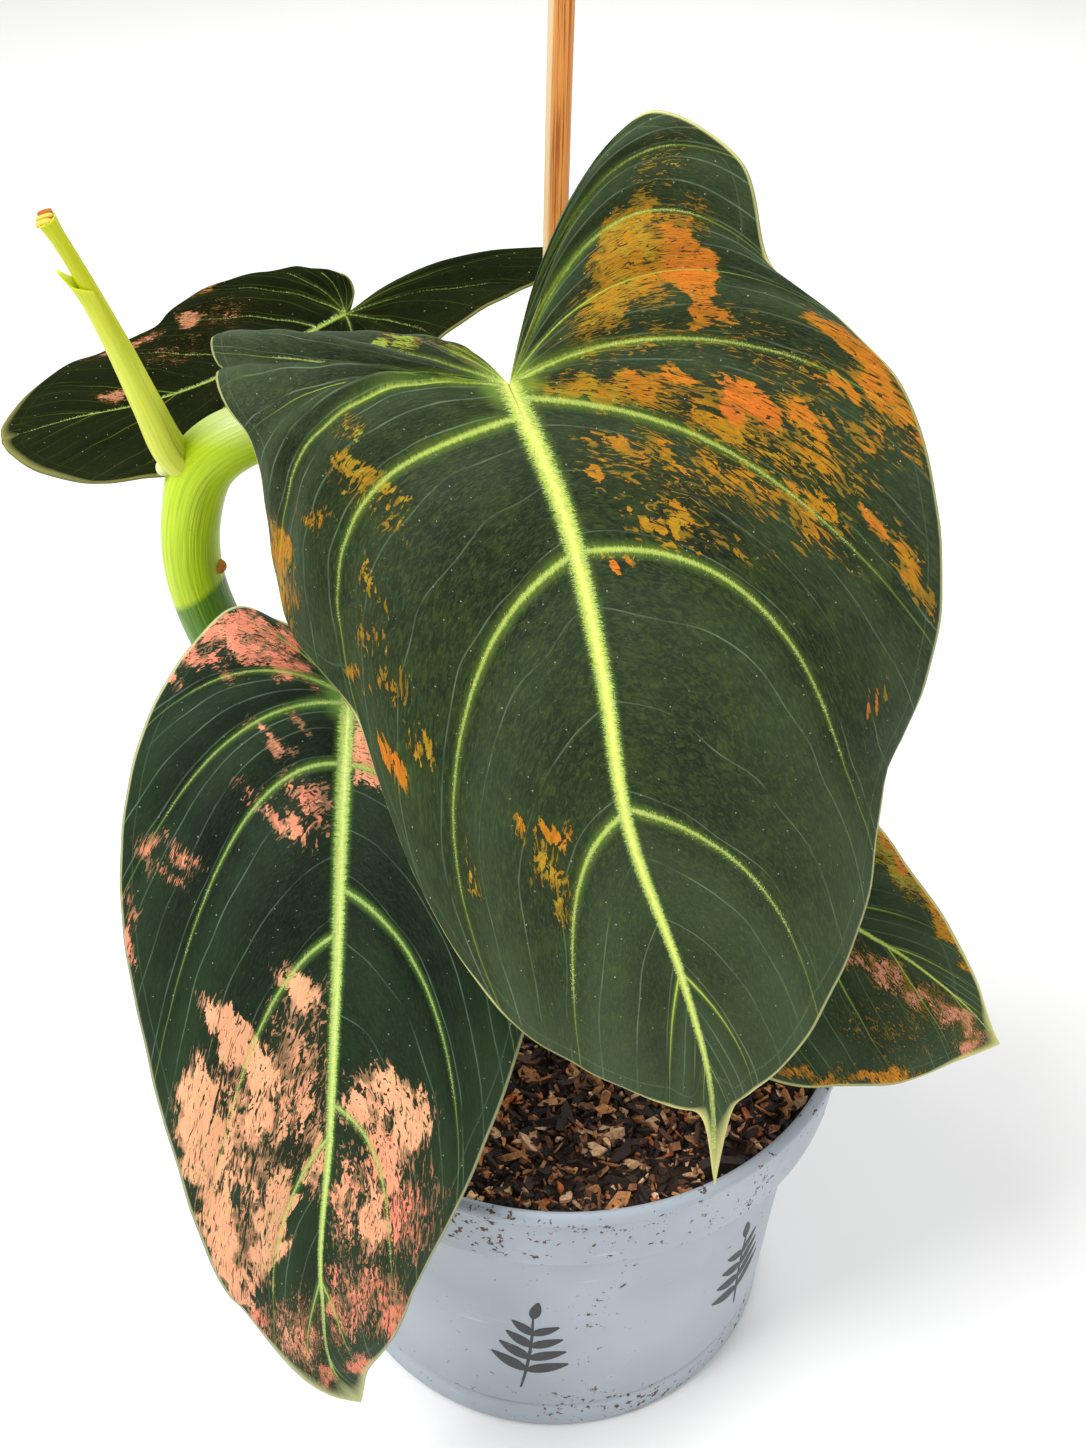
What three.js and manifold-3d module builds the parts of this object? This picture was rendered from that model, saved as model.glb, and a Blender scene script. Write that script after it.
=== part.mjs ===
// Black gold philodendron in a nursery pot: a climbing aroid with four heart-shaped blades on thin
// petioles, a bent stem, the stub of a cut petiole and a split-bamboo stake in bark-rich soil.
// Millimetres, +Z up, the origin at the middle of the pot's flat base. The front blade faces -Y.
import * as THREE from 'three';
import Module from 'manifold-3d';
import { mergeVertices } from 'three/addons/utils/BufferGeometryUtils.js';

// Driving dimensions
const RIM_RADIUS = 60;
const POT_HEIGHT = 92;
const COLLAR_DEPTH = 17;
const BODY_TOP_RADIUS = 53.4;
const HEEL_RADIUS = 50.2;
const BASE_RADIUS = 49;
const COLLAR_INSIDE = RIM_RADIUS - 2.9;
const WALL = 1.5;
const FLOOR = 2;
const SECTORS = 48;
const DRAIN = { count: 8, radius: 3.5, circle: 38 };
const GAP = 0.3;
const SLIVER = 0.01;

const SOIL_LEVEL = 85;
const SOIL_RINGS = [12, 24, 35, 45, 53];
const CHIPS = { count: 32, seed: 7, length: [4, 9], width: [2, 4], thickness: [1, 2], lift: 0.2, rimGap: 7 };
const STEM_HOLE_GAP = 0.6;
const STAKE_HOLE_GAP = 0.4;

const STAKE = { x: -5, y: 33, foot: 14, top: 312, width: 4.2, depth: 3.4 };

const BLADE_THICKNESS = 0.9;
const RIB_HEIGHT = 1.6;
const PETIOLE_JOINT = 2.5;
const PETIOLE_TURN = 6;
const COLUMNS = [0, 0.05, 0.17, 0.33, 0.52, 0.71, 0.88, 1];

// Stem: points along its middle with the radius at each
const STEM = [
  [-22, 6, 34, 5.6], [-25, 7, 80, 5.8], [-40, 9, 122, 5.4], [-58, 11, 152, 5.2], [-65.5, 12, 168, 5.2],
  [-68.3, 12, 182, 5.0], [-67.2, 12, 194, 5.0], [-63.8, 12, 203.5, 5.4], [-57, 12.5, 208.5, 5.2],
  [-47, 15, 209.5, 4.6], [-35, 19, 206, 4.4], [-24, 23, 198, 4.2], [-16, 26, 187, 3.4],
];
const NODE_RINGS = [{ at: 0.36, height: 0.5 }, { at: 0.56, height: 0.6 }, { at: 0.84, height: 0.5 }];
const ROOT_NUB = { at: [-63, 10.5, 178.5], radius: 1.6 };
const STEM_TUBE = { sides: 12, steps: 34 };
const STUB_TUBE = { sides: 10, steps: 16 };

// Petioles: points along the middle with the radius at each, from inside the stem to
// where each turns in to its blade, which it meets square on its back
const CUT_PETIOLE = [
  [-65.5, 12, 202.5, 3], [-68.3, 10.3, 206.3, 2.8], [-70.5, 7, 216.7, 2.2], [-73, 4, 228.6, 1.7],
  [-76, 1, 240.3, 1.4], [-77.8, -1, 246.8, 1.35], [-79.3, -2, 251, 1.45],
];
const FRONT_PETIOLE = [[-19, 25, 192, 2.6], [-12, 23, 204, 2.3], [-9, 14, 217, 2.1]];
const LEFT_PETIOLE = [[-36, 19, 206, 2.6], [-39, 20, 196, 2.2], [-41, 14, 183, 2], [-40, 2, 173, 1.9]];
const BACK_PETIOLE = [[-47, 15, 207, 2.4], [-47, 21, 197, 2.1], [-47, 32, 188, 1.9], [-47, 50, 187, 1.8]];
const RIGHT_PETIOLE = [[-18, 25, 190, 2.5], [-8, 27, 176, 2.1], [2, 24, 158, 1.9], [10, 14, 142, 1.8]];

// Sheath round the lower two thirds of the cut petiole: from and to are shares of its length, and
// tip is where the sheath's rounded middle ends. The bud is beside it.
const SHEATH = {
  from: 0.2, to: 0.62, tip: 0.745, halfAngle: 105, thickness: 0.7, clearance: 0.15, flare: 0.6,
};
const BUD = { at: [-70.6, 9.6, 203.4], radii: [1.2, 1.2, 1.8] };

// Blades. A blade is drawn on a flat pattern, s across from the midrib and b along it, and that
// pattern is then bent in space.
// midrib: [b, x, y, z] from the petiole to the tip.
// lobes: the same beyond the petiole, where b is below zero and the blade's halves part as two
//   lobes, each on a course of its own.
// faces: [b, x, y, z] the side that the upper face looks to.
// reach: how far to each side of b the course's direction is taken, so that a sharp turn of the
//   course turns the blade's cross lines gently.
// fold:  [b, rise, bend, crease, bend beyond, sweep], the half blade's slope at the midrib in
//   degrees, its bending in degrees per 50 mm up to s = crease and beyond it, and how far its
//   cross lines lean towards the petiole in degrees.
// veins: [start b, lean s, lean b, edge s, edge b], the side veins in order from the notch to the
//   tip, each a curve from the midrib that leans over one point and ends at the margin.
const FRONT_MIDRIB = [
  [0, -11.3, -12, 231.6], [20, -3, -21, 216], [45, 3.6, -32, 195.2], [70, 8.6, -43, 172.5],
  [97, 18, -54, 150.6], [117, 23.6, -61, 132.9], [136, 25.6, -66, 114.7],
];
const FRONT_BLADE = {
  steps: 39,
  puff: 1.6,
  wave: { height: 1.2, count: 4 },
  midrib: FRONT_MIDRIB,
  lobes: {
    left: [[-40, -27, 24, 220], [-20, -19.5, 5.5, 228.6], [-8, -14.7, -6, 232.8]],
    right: [[-40, -28, 6, 262.5], [-20, -19.5, -3, 247]],
  },
  faces: [[0, 0, -1, 0.6], [136, 0, -1, 0.6]],
  reach: 12,
  fold: {
    left: [[0, -5, 10, 35, 10, 43], [8, -5, 12, 35, 28, 33], [20, -5, 12, 35, 50, 28],
      [60, -5, 15, 30, 70, 14], [100, 5, 25, 30, 30, 5], [136, 0, 45, 30, 45, 0]],
    right: [[0, 10, 10, 30, 25, 0], [40, 10, 17, 32, 32, 0], [80, 6, 30, 30, 42, 0],
      [110, 4, 40, 30, 50, 0], [136, 0, 45, 30, 45, 0]],
  },
  veins: {
    left: [[0, 0, 0, 0, 0], [0, 2, -6, 3, -13], [0, 5, -14, 10, -24], [0, 12, -20, 26, -28],
      [0, 20, -9, 42, -24], [0, 26, -2, 52.5, -5], [0, 32, -2, 49.8, 17], [0, 37, -2, 55.5, 46],
      [5, 50, 24, 40.5, 60], [27, 32, 50, 29.5, 98], [68, 16, 78, 20, 111], [96, 6, 108, 7, 120],
      [112, 1.5, 118, 1.8, 124],
      [138, 0, 138, 0, 138]],
    right: [[0, 0, 0, 0, 0], [0, 5, -6, 13, -13], [0, 10, -14, 23, -22], [0, 18, -26, 34, -27],
      [0, 27, -35, 43, -15], [0, 28, -30, 42, 0], [0, 27, -18, 49, 12], [0, 25, -4, 54, 25],
      [2, 28, 15, 52, 52], [27, 38, 31, 36, 91], [67, 20, 76, 19, 110], [96, 6, 107, 7, 120],
      [112, 1.8, 118, 3, 124], [138, 0, 138, 0, 138]],
  },
};

const LEFT_MIDRIB = [
  [0, -37.9, -16, 175.2], [17, -38.3, -27, 162], [43, -38.6, -42, 141.6], [75, -39.7, -58, 113.9],
  [107, -41.6, -70, 84], [131, -38.3, -75, 61], [136, -35.5, -75.5, 56],
];
const LEFT_LOBES = [[-30, -39.5, 7, 192.5], [-12, -37.7, -7.5, 184.2]];
const LEFT_FOLD = [
  [0, 12, 30, 30, 40, 10], [60, 12, 30, 30, 40, 0], [110, 10, 30, 30, 40, 0], [150, 5, 40, 30, 45, 0],
];
const LEFT_BLADE = {
  steps: 33,
  puff: 1.3,
  wave: { height: 0.9, count: 4 },
  midrib: LEFT_MIDRIB,
  lobes: { left: LEFT_LOBES, right: LEFT_LOBES },
  faces: [[0, 0.05, -1, 0.6], [140, 0, -1, 0.5]],
  reach: 0.5,
  fold: { left: LEFT_FOLD, right: LEFT_FOLD },
  veins: {
    left: [[0, 0, 0, 0, 0], [0, 3, -5, 6, -7], [0, 7, -8, 13, -10], [0, 12, -9, 22, -9],
      [0, 17, -7, 34, 12], [1, 21, 2.5, 37, 38], [11, 21, 12, 30, 68], [40, 17, 50, 20, 98],
      [76, 9, 86, 9, 121], [104, 4, 116, 4, 130], [122, 0.8, 129, 1.6, 134], [136, 0, 136, 0, 136]],
    right: [[0, 0, 0, 0, 0], [0, 3, -5, 6, -7], [0, 7, -8, 13, -10], [0, 12, -9, 22, -9],
      [0, 17, -7, 33, 10], [1, 21, 3, 36, 34], [11, 20, 14, 31, 60], [32, 22, 44, 23, 87],
      [70, 14, 75, 13, 116], [104, 4, 116, 5, 130], [122, 0.8, 129, 2, 134], [136, 0, 136, 0, 136]],
  },
};

const BACK_MIDRIB = [
  [0, -45.5, 64, 206.9], [16, -58.6, 57, 202.3], [31, -71.7, 50, 198.3], [45, -84.2, 45, 195.9],
  [56, -93.9, 40.4, 195.6], [69, -105.6, 34.3, 194.2],
];
const BACK_FOLD = [[0, 5, 10, 30, 10, 0], [60, 5, 10, 30, 10, 0]];
const BACK_BLADE = {
  steps: 30,
  puff: 1.2,
  wave: { height: 0.8, count: 3 },
  midrib: BACK_MIDRIB,
  lobes: {
    left: [[-30, -21, 77, 215]],
    right: [[-41, -8.2, 81, 217.5], [-20, -28.5, 74, 214.2], [-8, -39, 68, 210.6]],
  },
  faces: [[0, 0, -0.05, 1], [70, 0, -0.05, 1]],
  reach: 0.5,
  fold: { left: BACK_FOLD, right: BACK_FOLD },
  veins: {
    left: [[0, 0, 0, 0, 0], [0, 3, -3, 6, -5], [0, 6, -4, 13, -5], [0, 12, -4, 21, -1],
      [0, 15, -1, 26, 7], [0, 18, 4, 29.5, 21], [6, 18, 15, 27, 36], [19, 16, 32, 21, 50],
      [36, 10, 48, 12, 62], [52, 4, 61, 5, 68.5], [70, 0, 70, 0, 70]],
    right: [[0, 0, 0, 0, 0], [0, 1, -12, 2, -26], [0, 6, -22, 8, -41], [0, 13, -19, 21, -29],
      [0, 17, -8, 26, -8], [0, 20, 4, 28, 15], [6, 21, 21, 28, 38], [19, 20, 36, 26, 57],
      [36, 12, 52, 16, 66], [52, 5, 63, 6, 69.5], [70, 0, 70, 0, 70]],
  },
};

const RIGHT_MIDRIB = [
  [0, 15.4, 0, 143.8], [20, 31.2, -10, 137.6], [44, 52.1, -20, 128.8], [58, 64, -25, 123.9],
  [68, 72.5, -28.5, 118.5], [83, 81, -31, 109.9],
];
const RIGHT_LOBE = [[-40, -16, 20, 156]];
const RIGHT_FOLD = [[0, 8, 25, 30, 20, 0], [90, 8, 35, 30, 30, 0]];
const RIGHT_BLADE = {
  steps: 33,
  puff: 1.1,
  wave: { height: 0.9, count: 3 },
  midrib: RIGHT_MIDRIB,
  lobes: { left: RIGHT_LOBE, right: RIGHT_LOBE },
  faces: [[0, 0.1, -0.7, 0.7], [90, 0.1, -0.7, 0.7]],
  reach: 0.5,
  fold: { left: RIGHT_FOLD, right: RIGHT_FOLD },
  veins: {
    left: [[0, 0, 0, 0, 0], [0, 3, -6, 5, -10], [0, 8, -10, 14, -15], [0, 15, -10, 25, -9],
      [0, 19, -4, 32, 6], [0, 22, 6, 34, 24], [6, 22, 14, 33, 42], [20, 20, 30, 28, 57],
      [36, 14, 48, 19, 69], [52, 6, 64, 9, 77], [66, 2, 75, 3, 82], [84, 0, 84, 0, 84]],
    right: [[0, 0, 0, 0, 0], [0, 3, -6, 5, -10], [0, 8, -10, 13, -15], [0, 13, -9, 22, -8],
      [0, 16, -3, 25, 6], [0, 16, 4, 24, 22], [6, 15, 12, 20, 36], [20, 11, 28, 14, 50],
      [36, 6, 46, 8, 62], [52, 3, 62, 3.5, 72], [66, 1, 73, 1.2, 79], [84, 0, 84, 0, 84]],
  },
};

// Colours and finishes
const MATERIALS = {
  pot: { color: 0xaebac6, roughness: 0.45 },
  soil: { color: 0x2b1d16, roughness: 0.95 },
  bamboo: { color: 0xd98f45, roughness: 0.6 },
  stem: { color: 0xa5c438, roughness: 0.5 },
  petiole: { color: 0xb4cf55, roughness: 0.5 },
  stub: { color: 0xd8e23a, roughness: 0.5 },
  leaf: { color: 0x2a3b2c, roughness: 0.6 },
};

const wasm = await Module();
wasm.setup();

// Solids and meshes

function toSolid(geometry) {
  const plain = geometry.clone();
  plain.deleteAttribute('normal');
  plain.deleteAttribute('uv');
  const merged = mergeVertices(plain, 1e-4);
  return new wasm.Manifold(new wasm.Mesh({
    numProp: 3,
    vertProperties: new Float32Array(merged.attributes.position.array),
    triVerts: new Uint32Array(merged.index.array),
  }));
}

function fromSolid(solid) {
  const mesh = solid.simplify(SLIVER).getMesh();
  const geometry = new THREE.BufferGeometry();
  geometry.setAttribute('position', new THREE.BufferAttribute(new Float32Array(mesh.vertProperties), 3));
  geometry.setIndex(new THREE.BufferAttribute(new Uint32Array(mesh.triVerts), 1));
  return geometry;
}

function largestPiece(solid) {
  const pieces = solid.decompose();
  return pieces.reduce((best, piece) => (piece.volume() > best.volume() ? piece : best));
}

function indexed(points, triangles) {
  const geometry = new THREE.BufferGeometry();
  const coordinates = points.flatMap((p) => [p.x, p.y, p.z]);
  geometry.setAttribute('position', new THREE.Float32BufferAttribute(coordinates, 3));
  geometry.setIndex(triangles.flat());
  return geometry;
}

// Repeatable random numbers from 0 to 1
function randomFrom(seed) {
  let state = seed;
  return () => {
    state = (state * 1664525 + 1013904223) % 4294967296;
    return state / 4294967296;
  };
}

// Value of a table of rows [key, values...] at x: a smooth curve through the rows, straight past
// its ends
function tableAt(rows, x) {
  const last = rows.length - 1;
  const slope = (i, c) => (rows[i + 1][c] - rows[i][c]) / (rows[i + 1][0] - rows[i][0]);
  const tangent = (i, c) => {
    if (i === 0) return slope(0, c);
    if (i === last) return slope(last - 1, c);
    const before = rows[i][0] - rows[i - 1][0];
    const after = rows[i + 1][0] - rows[i][0];
    return (slope(i - 1, c) * after + slope(i, c) * before) / (before + after);
  };
  const columns = rows[0].slice(1).map((_, c) => c + 1);
  if (x <= rows[0][0]) return columns.map((c) => rows[0][c] + tangent(0, c) * (x - rows[0][0]));
  if (x >= rows[last][0]) return columns.map((c) => rows[last][c] + tangent(last, c) * (x - rows[last][0]));
  let i = 0;
  while (rows[i + 1][0] < x) i += 1;
  const width = rows[i + 1][0] - rows[i][0];
  const u = (x - rows[i][0]) / width;
  return columns.map((c) => (2 * u ** 3 - 3 * u ** 2 + 1) * rows[i][c]
    + (u ** 3 - 2 * u ** 2 + u) * width * tangent(i, c)
    + (-2 * u ** 3 + 3 * u ** 2) * rows[i + 1][c]
    + (u ** 3 - u ** 2) * width * tangent(i + 1, c));
}

// Smooth curve through rows that start with x, y, z
function courseThrough(rows) {
  const points = rows.map(([x, y, z]) => new THREE.Vector3(x, y, z));
  return new THREE.CatmullRomCurve3(points, false, 'centripetal');
}

// Closed tube along points that hold a radius each, with optional rings standing out of it
function tube(rows, { sides = 10, steps = 16, rings = [], grow = 0 } = {}) {
  const curve = courseThrough(rows);
  const frames = curve.computeFrenetFrames(steps, false);
  const points = [];
  const triangles = [];
  for (let i = 0; i <= steps; i += 1) {
    const t = i / steps;
    const overhang = i === 0 ? -grow : (i === steps ? grow : 0);
    const middle = curve.getPointAt(t).addScaledVector(frames.tangents[i], overhang);
    const along = curve.getUtoTmapping(t) * (rows.length - 1);
    let radius = tableAt(rows.map((row, k) => [k, row[3]]), along)[0] + grow;
    for (const ring of rings) {
      radius += ring.height * Math.exp(-(((t - ring.at) * steps) ** 2) / 0.4);
    }
    for (let k = 0; k < sides; k += 1) {
      const angle = (2 * Math.PI * k) / sides;
      points.push(middle.clone()
        .addScaledVector(frames.normals[i], radius * Math.cos(angle))
        .addScaledVector(frames.binormals[i], radius * Math.sin(angle)));
    }
  }
  const at = (i, k) => i * sides + (k % sides);
  for (let i = 0; i < steps; i += 1) {
    for (let k = 0; k < sides; k += 1) {
      triangles.push([at(i, k), at(i, k + 1), at(i + 1, k)]);
      triangles.push([at(i, k + 1), at(i + 1, k + 1), at(i + 1, k)]);
    }
  }
  for (let k = 1; k < sides - 1; k += 1) {
    triangles.push([at(0, 0), at(0, k + 1), at(0, k)], [at(steps, 0), at(steps, k), at(steps, k + 1)]);
  }
  return indexed(points, triangles);
}

// Closed solid from a sheet of points: each point moves out along the sheet's normal by its front
// and back thickness, and the open edges get side walls
function thicken(points, triangles, front, back) {
  const sheet = indexed(points, triangles);
  sheet.computeVertexNormals();
  const normal = (k) => new THREE.Vector3().fromBufferAttribute(sheet.attributes.normal, k).normalize();
  const count = points.length;
  const outer = points.map((p, k) => p.clone().addScaledVector(normal(k), front[k]));
  const inner = points.map((p, k) => p.clone().addScaledVector(normal(k), -back[k]));
  const faces = [...triangles, ...triangles.map(([a, b, c]) => [a + count, c + count, b + count])];
  const edges = new Map();
  for (const [a, b, c] of triangles) {
    for (const [p, q] of [[a, b], [b, c], [c, a]]) {
      if (edges.has(`${q},${p}`)) edges.delete(`${q},${p}`);
      else edges.set(`${p},${q}`, [p, q]);
    }
  }
  for (const [p, q] of edges.values()) {
    faces.push([q, p, p + count], [q, p + count, q + count]);
  }
  return indexed([...outer, ...inner], faces);
}

// Blades

function vectorAt(rows, b) {
  return new THREE.Vector3(...tableAt(rows, b));
}

// Course of one half of a blade: its lobe's rows and then the midrib's
function courseOf(blade, name) {
  return [...blade.lobes[name], ...blade.midrib];
}

// Directions along a half's course and out of the upper face at b
function frameAt(blade, name, b) {
  const course = courseOf(blade, name);
  const along = vectorAt(course, b + blade.reach).sub(vectorAt(course, b - blade.reach)).normalize();
  const up = vectorAt(blade.faces, b);
  up.addScaledVector(along, -up.dot(along)).normalize();
  return { along, up };
}

// Point of the bent sheet at s across and b along, on the left (-1) or right (+1) of the midrib
function sheetPoint(blade, side, s, b) {
  const name = side < 0 ? 'left' : 'right';
  const level = Math.max(b, 0);
  const { along, up } = frameAt(blade, name, level);
  const start = vectorAt(b < 0 ? courseOf(blade, name) : blade.midrib, b);
  const across = new THREE.Vector3().crossVectors(up, along).multiplyScalar(side);
  const [rise, bend, crease, bendBeyond, sweep] = tableAt(blade.fold[name], level);
  const lean = THREE.MathUtils.degToRad(sweep);
  across.multiplyScalar(Math.cos(lean)).addScaledVector(along, -Math.sin(lean));
  let angle = THREE.MathUtils.degToRad(rise);
  let reach = 0;
  let lift = 0;
  for (const [length, degrees] of [[Math.min(s, crease), bend], [Math.max(s - crease, 0), bendBeyond]]) {
    const turn = Math.max(THREE.MathUtils.degToRad(degrees) / 50, 1e-5);
    reach += (Math.sin(angle) - Math.sin(angle - turn * length)) / turn;
    lift += (Math.cos(angle - turn * length) - Math.cos(angle)) / turn;
    angle -= turn * length;
  }
  return start.addScaledVector(across, reach).addScaledVector(up, lift);
}

// Place on the flat pattern of the vein number u, from 0 at the midrib to 1 at the margin
function patternPoint(veins, u, v) {
  const [start, leanS, leanB, edgeS, edgeB] = tableAt(veins.map((row, k) => [k, ...row]), u);
  const w = 1 - v;
  return [2 * v * w * leanS + v * v * edgeS, w * w * start + 2 * v * w * leanB + v * v * edgeB];
}

// Sheet of a blade: two halves of veins by columns, sharing the midrib, with the tissue puffed up
// between the veins and a wave along the margin
function bladeSheet(blade) {
  const points = [];
  const ribs = [];
  const triangles = [];
  const known = new Map();
  const rows = blade.veins.left.length - 1;
  const tip = blade.veins.left[rows][0];
  const vertex = (p, rib) => {
    const key = [p.x, p.y, p.z].map((value) => value.toFixed(3)).join();
    if (!known.has(key)) {
      known.set(key, points.length);
      points.push(p);
      ribs.push(rib);
    }
    return known.get(key);
  };
  for (const side of [-1, 1]) {
    const veins = side < 0 ? blade.veins.left : blade.veins.right;
    const grid = [];
    for (let i = 0; i <= blade.steps; i += 1) {
      const u = (i / blade.steps) * rows;
      const starts = ['left', 'right'].map((name) => patternPoint(blade.veins[name], u, 0)[1]);
      const puff = blade.puff * Math.sin(Math.PI * (u % 1)) ** 2;
      const wave = blade.wave.height * Math.sin((2 * Math.PI * blade.wave.count * i) / blade.steps + side);
      grid.push(COLUMNS.map((v) => {
        const [s, b] = v === 0 ? [0, Math.max(0, starts[0] + starts[1]) / 2] : patternPoint(veins, u, v);
        const fade = Math.min(1, (tip - b) / 20, s / 8);
        const lift = Math.max(fade, 0) * (puff * 4 * v * (1 - v) + wave * v ** 3);
        const middle = sheetPoint(blade, side, s, b);
        const across = sheetPoint(blade, side, s + 0.5, b).sub(middle);
        const along = sheetPoint(blade, side, s, b + 0.5).sub(middle);
        const out = new THREE.Vector3().crossVectors(along, across).multiplyScalar(side).normalize();
        const rib = v === 0 ? RIB_HEIGHT * (1 - 0.8 * Math.max(b, 0) / tip) : 0;
        return vertex(middle.addScaledVector(out, lift), rib);
      }));
    }
    for (let i = 0; i < blade.steps; i += 1) {
      for (let j = 0; j < COLUMNS.length - 1; j += 1) {
        const [a, b, c, d] = [grid[i][j], grid[i + 1][j], grid[i + 1][j + 1], grid[i][j + 1]];
        for (const [p, q, r] of [[a, b, c], [a, c, d]]) {
          if (p !== q && q !== r && r !== p) triangles.push(side > 0 ? [p, q, r] : [p, r, q]);
        }
      }
    }
  }
  return { points, ribs, triangles };
}

function bladeGeometry(blade, grow = 0) {
  const { points, ribs, triangles } = bladeSheet(blade);
  const half = BLADE_THICKNESS / 2 + grow;
  return thicken(points, triangles, points.map(() => half), ribs.map((rib) => half + rib));
}

// Petiole from the stem to a blade, cut clear of both
function petioleGeometry(rows, blade) {
  const joint = vectorAt(blade.midrib, PETIOLE_JOINT);
  const { up } = frameAt(blade, 'right', PETIOLE_JOINT);
  const seat = BLADE_THICKNESS / 2 + RIB_HEIGHT + GAP;
  const radius = rows[rows.length - 1][3];
  const ends = [seat + PETIOLE_TURN, seat].map((depth) => (
    [...joint.clone().addScaledVector(up, -depth), radius]
  ));
  const stemRoom = toSolid(stemBody(GAP));
  const bladeRoom = toSolid(bladeGeometry(blade, GAP));
  const whole = toSolid(tube([...rows, ...ends], { sides: 8, steps: 14 }));
  return fromSolid(largestPiece(whole.subtract(stemRoom).subtract(bladeRoom)));
}

// Stem

function stemBody(grow = 0) {
  return tube(STEM, { ...STEM_TUBE, rings: NODE_RINGS, grow });
}

function stemGeometry() {
  const nub = new THREE.SphereGeometry(ROOT_NUB.radius, 8, 6);
  nub.translate(...ROOT_NUB.at);
  return fromSolid(toSolid(stemBody()).add(toSolid(nub)));
}

function cutPetioleGeometry() {
  const whole = toSolid(tube(CUT_PETIOLE, STUB_TUBE));
  return fromSolid(largestPiece(whole.subtract(toSolid(stemBody(GAP)))));
}

// Sheath: a strip rolled round the cut petiole, higher in the middle where it ends in a free tip
function sheathGeometry() {
  const curve = courseThrough(CUT_PETIOLE);
  const around = 12;
  const up = 8;
  const points = [];
  const triangles = [];
  for (let i = 0; i <= around; i += 1) {
    const across = (2 * i) / around - 1;
    const angle = THREE.MathUtils.degToRad(SHEATH.halfAngle * across);
    const top = SHEATH.to + (SHEATH.tip - SHEATH.to) * (1 - Math.abs(across)) ** 2;
    for (let j = 0; j <= up; j += 1) {
      const t = SHEATH.from + ((top - SHEATH.from) * j) / up;
      const middle = curve.getPoint(t);
      const direction = curve.getTangent(t);
      const outward = new THREE.Vector3(-1, -0.3, 0);
      outward.addScaledVector(direction, -outward.dot(direction)).normalize();
      const sideways = new THREE.Vector3().crossVectors(direction, outward);
      const radius = tableAt(CUT_PETIOLE.map((row, k) => [k, row[3]]), t * (CUT_PETIOLE.length - 1))[0];
      const flare = SHEATH.flare * Math.max(0, j / up - 0.5) ** 2 * (1 - Math.abs(across));
      const distance = radius + GAP + SHEATH.thickness / 2 + SHEATH.clearance + flare;
      points.push(middle.clone().addScaledVector(outward, distance * Math.cos(angle))
        .addScaledVector(sideways, distance * Math.sin(angle)));
    }
  }
  const at = (i, j) => i * (up + 1) + j;
  for (let i = 0; i < around; i += 1) {
    for (let j = 0; j < up; j += 1) {
      triangles.push([at(i, j), at(i + 1, j), at(i + 1, j + 1)], [at(i, j), at(i + 1, j + 1), at(i, j + 1)]);
    }
  }
  const half = points.map(() => SHEATH.thickness / 2);
  const sheath = toSolid(thicken(points, triangles, half, half));
  return fromSolid(largestPiece(sheath.subtract(toSolid(stemBody(GAP)))));
}

function budGeometry() {
  const bud = new THREE.SphereGeometry(1, 10, 8);
  bud.scale(...BUD.radii);
  bud.translate(...BUD.at);
  const petioleRoom = toSolid(tube(CUT_PETIOLE, { ...STUB_TUBE, grow: GAP }));
  return fromSolid(toSolid(bud).subtract(toSolid(stemBody(GAP))).subtract(petioleRoom));
}

// Pot: one thin wall turned round the axis, with a deep collar, a rounded rim and drainage holes
function potGeometry() {
  const collar = POT_HEIGHT - COLLAR_DEPTH;
  const profile = [
    [0, 0], [BASE_RADIUS, 0], [HEEL_RADIUS, 1.4], [HEEL_RADIUS, 8], [HEEL_RADIUS - 0.5, 8.8],
    [HEEL_RADIUS + 0.1, 9.8], [BODY_TOP_RADIUS, collar - 1], [RIM_RADIUS - 1.5, collar - 0.3],
    [RIM_RADIUS - 0.9, POT_HEIGHT - 3.4], [RIM_RADIUS, POT_HEIGHT - 2.4],
    [RIM_RADIUS - 0.4, POT_HEIGHT - 0.4], [RIM_RADIUS - 1.4, POT_HEIGHT],
    [RIM_RADIUS - 2.6, POT_HEIGHT - 1.2], [COLLAR_INSIDE, collar + 1.6],
    [BODY_TOP_RADIUS - WALL, collar + 0.8], [HEEL_RADIUS - WALL, FLOOR + 1], [HEEL_RADIUS - WALL - 1, FLOOR],
    [0, FLOOR],
  ];
  const shell = new THREE.LatheGeometry(profile.map(([r, z]) => new THREE.Vector2(r, z)), SECTORS);
  shell.rotateX(Math.PI / 2);
  let pot = toSolid(shell);
  for (let k = 0; k < DRAIN.count; k += 1) {
    const angle = (2 * Math.PI * (k + 0.5)) / DRAIN.count;
    const hole = new THREE.CylinderGeometry(DRAIN.radius, DRAIN.radius, 3 * FLOOR, 12);
    hole.rotateX(Math.PI / 2);
    hole.translate(DRAIN.circle * Math.cos(angle), DRAIN.circle * Math.sin(angle), FLOOR / 2);
    pot = pot.subtract(toSolid(hole));
  }
  return fromSolid(pot);
}

// Height of the soil at x, y: low mounds and hollows
function soilHeight(x, y) {
  const mounds = 1.6 * Math.sin(x / 9 + 1.3) * Math.cos(y / 11 - 0.4) + 0.9 * Math.sin(x / 4.1 - y / 5.3);
  return SOIL_LEVEL + mounds - 1.5 * Math.hypot(x, y) / RIM_RADIUS;
}

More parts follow.
